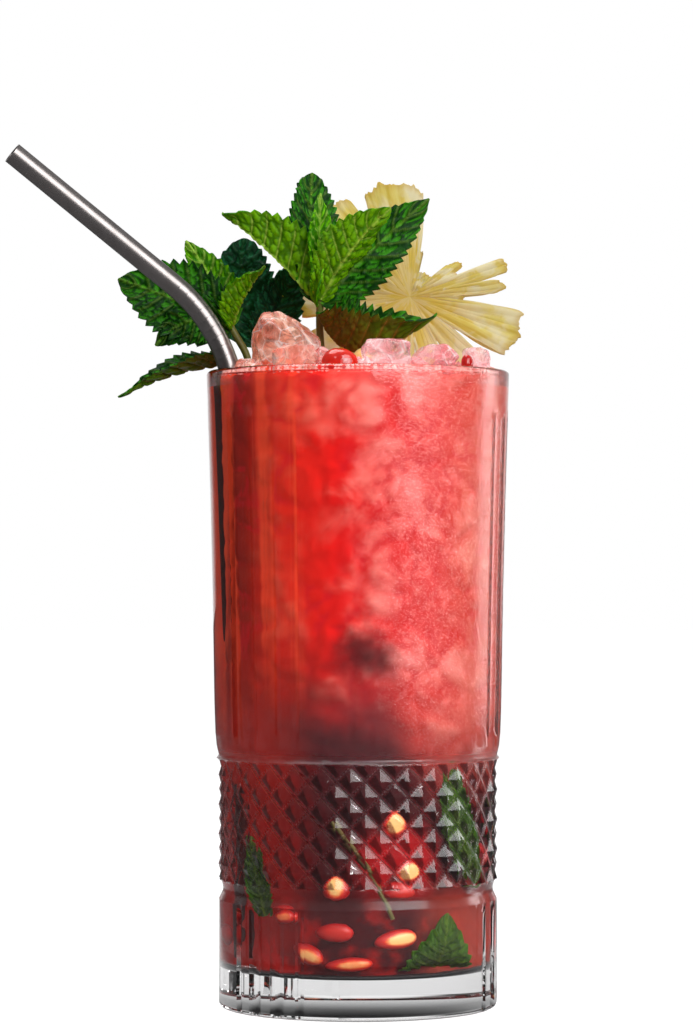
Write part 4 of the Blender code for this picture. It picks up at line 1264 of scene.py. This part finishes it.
def worn(piece, cuts, repeat, grain, depth):
    """Subdivide a rough form, wear its edges round and pit its faces."""
    with edit_mode(piece):
        bpy.ops.mesh.select_all(action='SELECT')
        bpy.ops.mesh.subdivide(number_cuts=cuts)
        bpy.ops.mesh.vertices_smooth(factor=0.5, repeat=repeat)
    moves = [vert.normal * (noise.noise(vert.co / (grain * MM)) * depth * MM) for vert in piece.data.vertices]
    for vert, move in zip(piece.data.vertices, moves):
        vert.co += move


class SWIZZLE_OT_ice(bpy.types.Operator):
    """Work the ice chunks above the rim"""
    bl_idname = "swizzle.ice"
    bl_label = "Ice chunks"

    def execute(self, context):
        material = wet_ice()
        for node in [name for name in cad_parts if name.startswith("ice_")]:
            chunk = from_node(node.replace("ice", "ice_chunk"), node)
            worn(chunk, 7, 1, 2.6, 0.4)
            finish_piece(chunk, "ice", node, material=material, angle=30.0)
        return {'FINISHED'}


class SWIZZLE_OT_ice_crumbs(bpy.types.Operator):
    """Scatter small crumbs of ice over the mound"""
    bl_idname = "swizzle.ice_crumbs"
    bl_label = "Ice crumbs"

    def execute(self, context):
        draw = random.Random(CRUMB_DRAW)
        crumbs = []
        for index in range(ICE_CRUMBS):
            angle = draw.uniform(0, math.tau)
            radius = CRUMB_REACH * math.sqrt(draw.uniform(0.05, 1.0))
            size = draw.uniform(*CRUMB_SIZES)
            height = DRINK_LEVEL + CRUMB_LIFT + mound(radius) + size * 0.15
            deselect()
            bpy.ops.mesh.primitive_cube_add(size=size * MM, location=mm(round_axis(radius, angle, height)),
                                            rotation=[draw.uniform(0, math.tau) for _ in range(3)],
                                            scale=[draw.uniform(0.6, 1.2) for _ in range(3)])
            crumb = named(f"crumb_{index}")
            bake_place(crumb)
            worn(crumb, 3, 2, 1.2, 0.35)
            crumbs.append(crumb)
        piece = joined("ice_crumbs", crumbs)
        finish_piece(piece, "ice", material=bpy.data.materials["wet_ice"])
        return {'FINISHED'}


def seed_piece(name, seed):
    """A plump aril, drawn out at one end, its pale seed showing at the other."""
    deselect()
    bpy.ops.mesh.primitive_uv_sphere_add(segments=FRUIT_SIDES, ring_count=FRUIT_SIDES // 2, radius=1.0)
    piece = named(name)
    length, height = seed.size
    half = Vector((length, SEED_THICKNESS, height)) / 2
    centre = Vector(seed.centre)
    facing = math.atan2(centre.x, -centre.y)
    turn = Matrix.Rotation(facing, 3, 'Z') @ Matrix.Rotation(math.radians(-seed.tilt), 3, 'Y')
    pale = []
    for vert in piece.data.vertices:
        way = vert.co.copy()
        slim = 1 - 0.25 * (1 - way.x) / 2
        bumps = 1 + 0.05 * noise.noise(way * 2.0 + centre)
        form = Vector((half.x * way.x, half.y * way.y * slim, half.z * way.z * slim))
        vert.co = mm(centre + turn @ form * bumps)
        spot = math.hypot((way.x - 0.2) * 0.9, way.z * 1.15)
        pale.append(seed.pale * (1 - blend(0.45, 1.05, spot)) if way.y < 0 else 0.0)
    mark(piece, "pale", pale)
    return piece


def hidden_seeds(draw):
    """Seeds round the sides and back of the foot, where the front ones leave off."""
    first, turn = MORE_SEEDS_SPAN
    for index in range(MORE_SEEDS):
        angle = math.radians(first + turn * (index + draw.uniform(0.1, 0.9)) / MORE_SEEDS)
        radius = draw.uniform(*MORE_SEEDS_RADII)
        height = draw.uniform(*(MORE_SEEDS_LOW if index % 3 else MORE_SEEDS_HIGH))
        size = (draw.uniform(7.0, 10.5), draw.uniform(4.8, 6.4))
        yield Seed(round_axis(radius, angle, height), size, draw.uniform(-30, 60), draw.uniform(0.1, 0.9))


class SWIZZLE_OT_sunk_fruit(bpy.types.Operator):
    """Sink pomegranate arils into the foot of the drink"""
    bl_idname = "swizzle.sunk_fruit"
    bl_label = "Sunk arils"

    def execute(self, context):
        seeds = list(FRONT_SEEDS) + list(hidden_seeds(random.Random(SEED_DRAW)))
        piece = joined("sunk_arils", [seed_piece(f"seed_{index}", seed) for index, seed in enumerate(seeds)])
        material = fruit_flesh("sunk_aril", context.scene.swizzle_colours, 0.3)
        finish_piece(piece, "aril", material=material, angle=80.0)
        return {'FINISHED'}


class SWIZZLE_OT_top_fruit(bpy.types.Operator):
    """Set the arils and the pale kernel among the ice"""
    bl_idname = "swizzle.top_fruit"
    bl_label = "Arils on the ice"

    def execute(self, context):
        material = fruit_flesh("wet_aril", context.scene.swizzle_colours, 0.12)
        slots = {"aril_large": ("aril", 0.35), "aril_pale": ("pale_aril", 1.0), "aril_small": ("aril", 0.1)}
        for node, (slot, pale) in slots.items():
            piece = from_node(node.replace("aril", "fruit"), node)
            worn(piece, 3, 8, 2.0, 0.25)
            mark(piece, "pale", [pale] * len(piece.data.vertices))
            finish_piece(piece, slot, node, material=material, angle=80.0)
        return {'FINISHED'}


class SWIZZLE_OT_froth(bpy.types.Operator):
    """Line the wall at the level with tiny bubbles"""
    bl_idname = "swizzle.froth"
    bl_label = "Froth"

    def execute(self, context):
        draw = random.Random(FROTH_DRAW)
        bubbles = []
        for index in range(FROTH_BUBBLES):
            angle = math.tau * (index + draw.uniform(-0.4, 0.4)) / FROTH_BUBBLES
            radius = draw.uniform(*FROTH_RADII)
            reach = FROTH_REACH - radius - draw.uniform(0.0, 0.8)
            place = mm(round_axis(reach, angle, DRINK_LEVEL + draw.uniform(0.2, 0.7)))
            deselect()
            bpy.ops.mesh.primitive_ico_sphere_add(subdivisions=2, radius=radius * MM, location=place)
            bubbles.append(named(f"bubble_{index}"))
        piece = joined("froth", bubbles)
        bake_place(piece)
        finish_piece(piece, "iced_drink", material=froth_skin(), angle=80.0)
        return {'FINISHED'}


# ---------------------------------------------------------------- stage

def aim(piece, target):
    """Turn a lamp or camera towards a point."""
    piece.rotation_euler = (Vector(target) - piece.location).to_track_quat('-Z', 'Y').to_euler()


def area_lamp(name, place, size, power):
    bpy.ops.object.light_add(type='AREA', location=place)
    lamp = named(name)
    aim(lamp, LAMP_AIM)
    lamp.data.shape = 'RECTANGLE'
    lamp.data.size, lamp.data.size_y = size
    lamp.data.energy = power


def studio_sky():
    """A soft grey room, brighter overhead and behind; the camera itself sees a white backdrop."""
    world = bpy.data.worlds.new("studio")
    world.use_nodes = True
    sky = Wiring(world.node_tree)
    way = sky.node("ShaderNodeTexCoord").outputs["Generated"]
    overhead = sky.spread(sky.part_of("Z", way), 0.0, 1.0, 0.0, ROOM_TOP)
    behind = sky.spread(sky.part_of("Y", way), *ROOM_BACK_SPAN, ROOM_GREY, ROOM_BACK)
    room = world.node_tree.nodes["Background"]
    sky.feed(room.inputs["Strength"], sky.plus(overhead, behind))
    card = sky.node("ShaderNodeBackground")
    for shader in (room, card):
        shader.inputs["Color"].default_value = WHITE
    sky.surface("World Output", sky.ray("Camera"), room, card)
    return world


class SWIZZLE_OT_stage(bpy.types.Operator):
    """Set the pale floor, the studio lights and the camera"""
    bl_idname = "swizzle.stage"
    bl_label = "Stage"

    def execute(self, context):
        deselect()
        bpy.ops.mesh.primitive_circle_add(vertices=96, radius=FLOOR_SIZE, fill_type='NGON')
        floor = named("floor")
        floor.data.materials.append(pale_floor())
        for name, place, size, power in LAMPS:
            area_lamp(name, place, size, power)
        context.scene.world = studio_sky()
        bpy.ops.object.camera_add(location=mm(CAMERA_PLACE))
        camera = named("camera")
        aim(camera, mm(CAMERA_AIM))
        camera.data.lens = CAMERA_FOCUS / PICTURE_HEIGHT * camera.data.sensor_width
        camera.data.clip_start = NEAREST_SEEN
        context.scene.camera = camera
        context.scene.view_settings.view_transform = 'Standard'
        return {'FINISHED'}


# ---------------------------------------------------------------- add-on

STEPS = ("stage", "straw", "froth", "ice", "ice_crumbs", "sunk_fruit", "top_fruit", "mint", "sunk_mint",
         "pineapple", "drink", "packed_ice", "glass")


class SWIZZLE_PT_panel(bpy.types.Panel):
    """Lists the sizes, the colours and the steps"""
    bl_idname = "SWIZZLE_PT_panel"
    bl_label = "Hibiscus swizzle"
    bl_space_type = 'VIEW_3D'
    bl_region_type = 'UI'
    bl_category = "Swizzle"

    def draw(self, context):
        for group in (context.scene.swizzle_sizes, context.scene.swizzle_colours):
            for name in group.bl_rna.properties.keys():
                if name not in ("rna_type", "name"):
                    self.layout.prop(group, name)
        for step in STEPS:
            self.layout.operator(f"swizzle.{step}")


CLASSES = (SwizzleSizes, SwizzleColours, SWIZZLE_OT_stage, SWIZZLE_OT_glass, SWIZZLE_OT_drink,
           SWIZZLE_OT_packed_ice, SWIZZLE_OT_straw, SWIZZLE_OT_mint, SWIZZLE_OT_sunk_mint,
           SWIZZLE_OT_pineapple, SWIZZLE_OT_ice, SWIZZLE_OT_ice_crumbs, SWIZZLE_OT_sunk_fruit,
           SWIZZLE_OT_top_fruit, SWIZZLE_OT_froth, SWIZZLE_PT_panel)


def register():
    for cls in CLASSES:
        bpy.utils.register_class(cls)
    bpy.types.Scene.swizzle_sizes = PointerProperty(type=SwizzleSizes)
    bpy.types.Scene.swizzle_colours = PointerProperty(type=SwizzleColours)


def unregister():
    del bpy.types.Scene.swizzle_colours
    del bpy.types.Scene.swizzle_sizes
    for cls in reversed(CLASSES):
        bpy.utils.unregister_class(cls)


def main():
    register()
    for step in STEPS:
        getattr(bpy.ops.swizzle, step)()


if __name__ == "__main__":
    main()
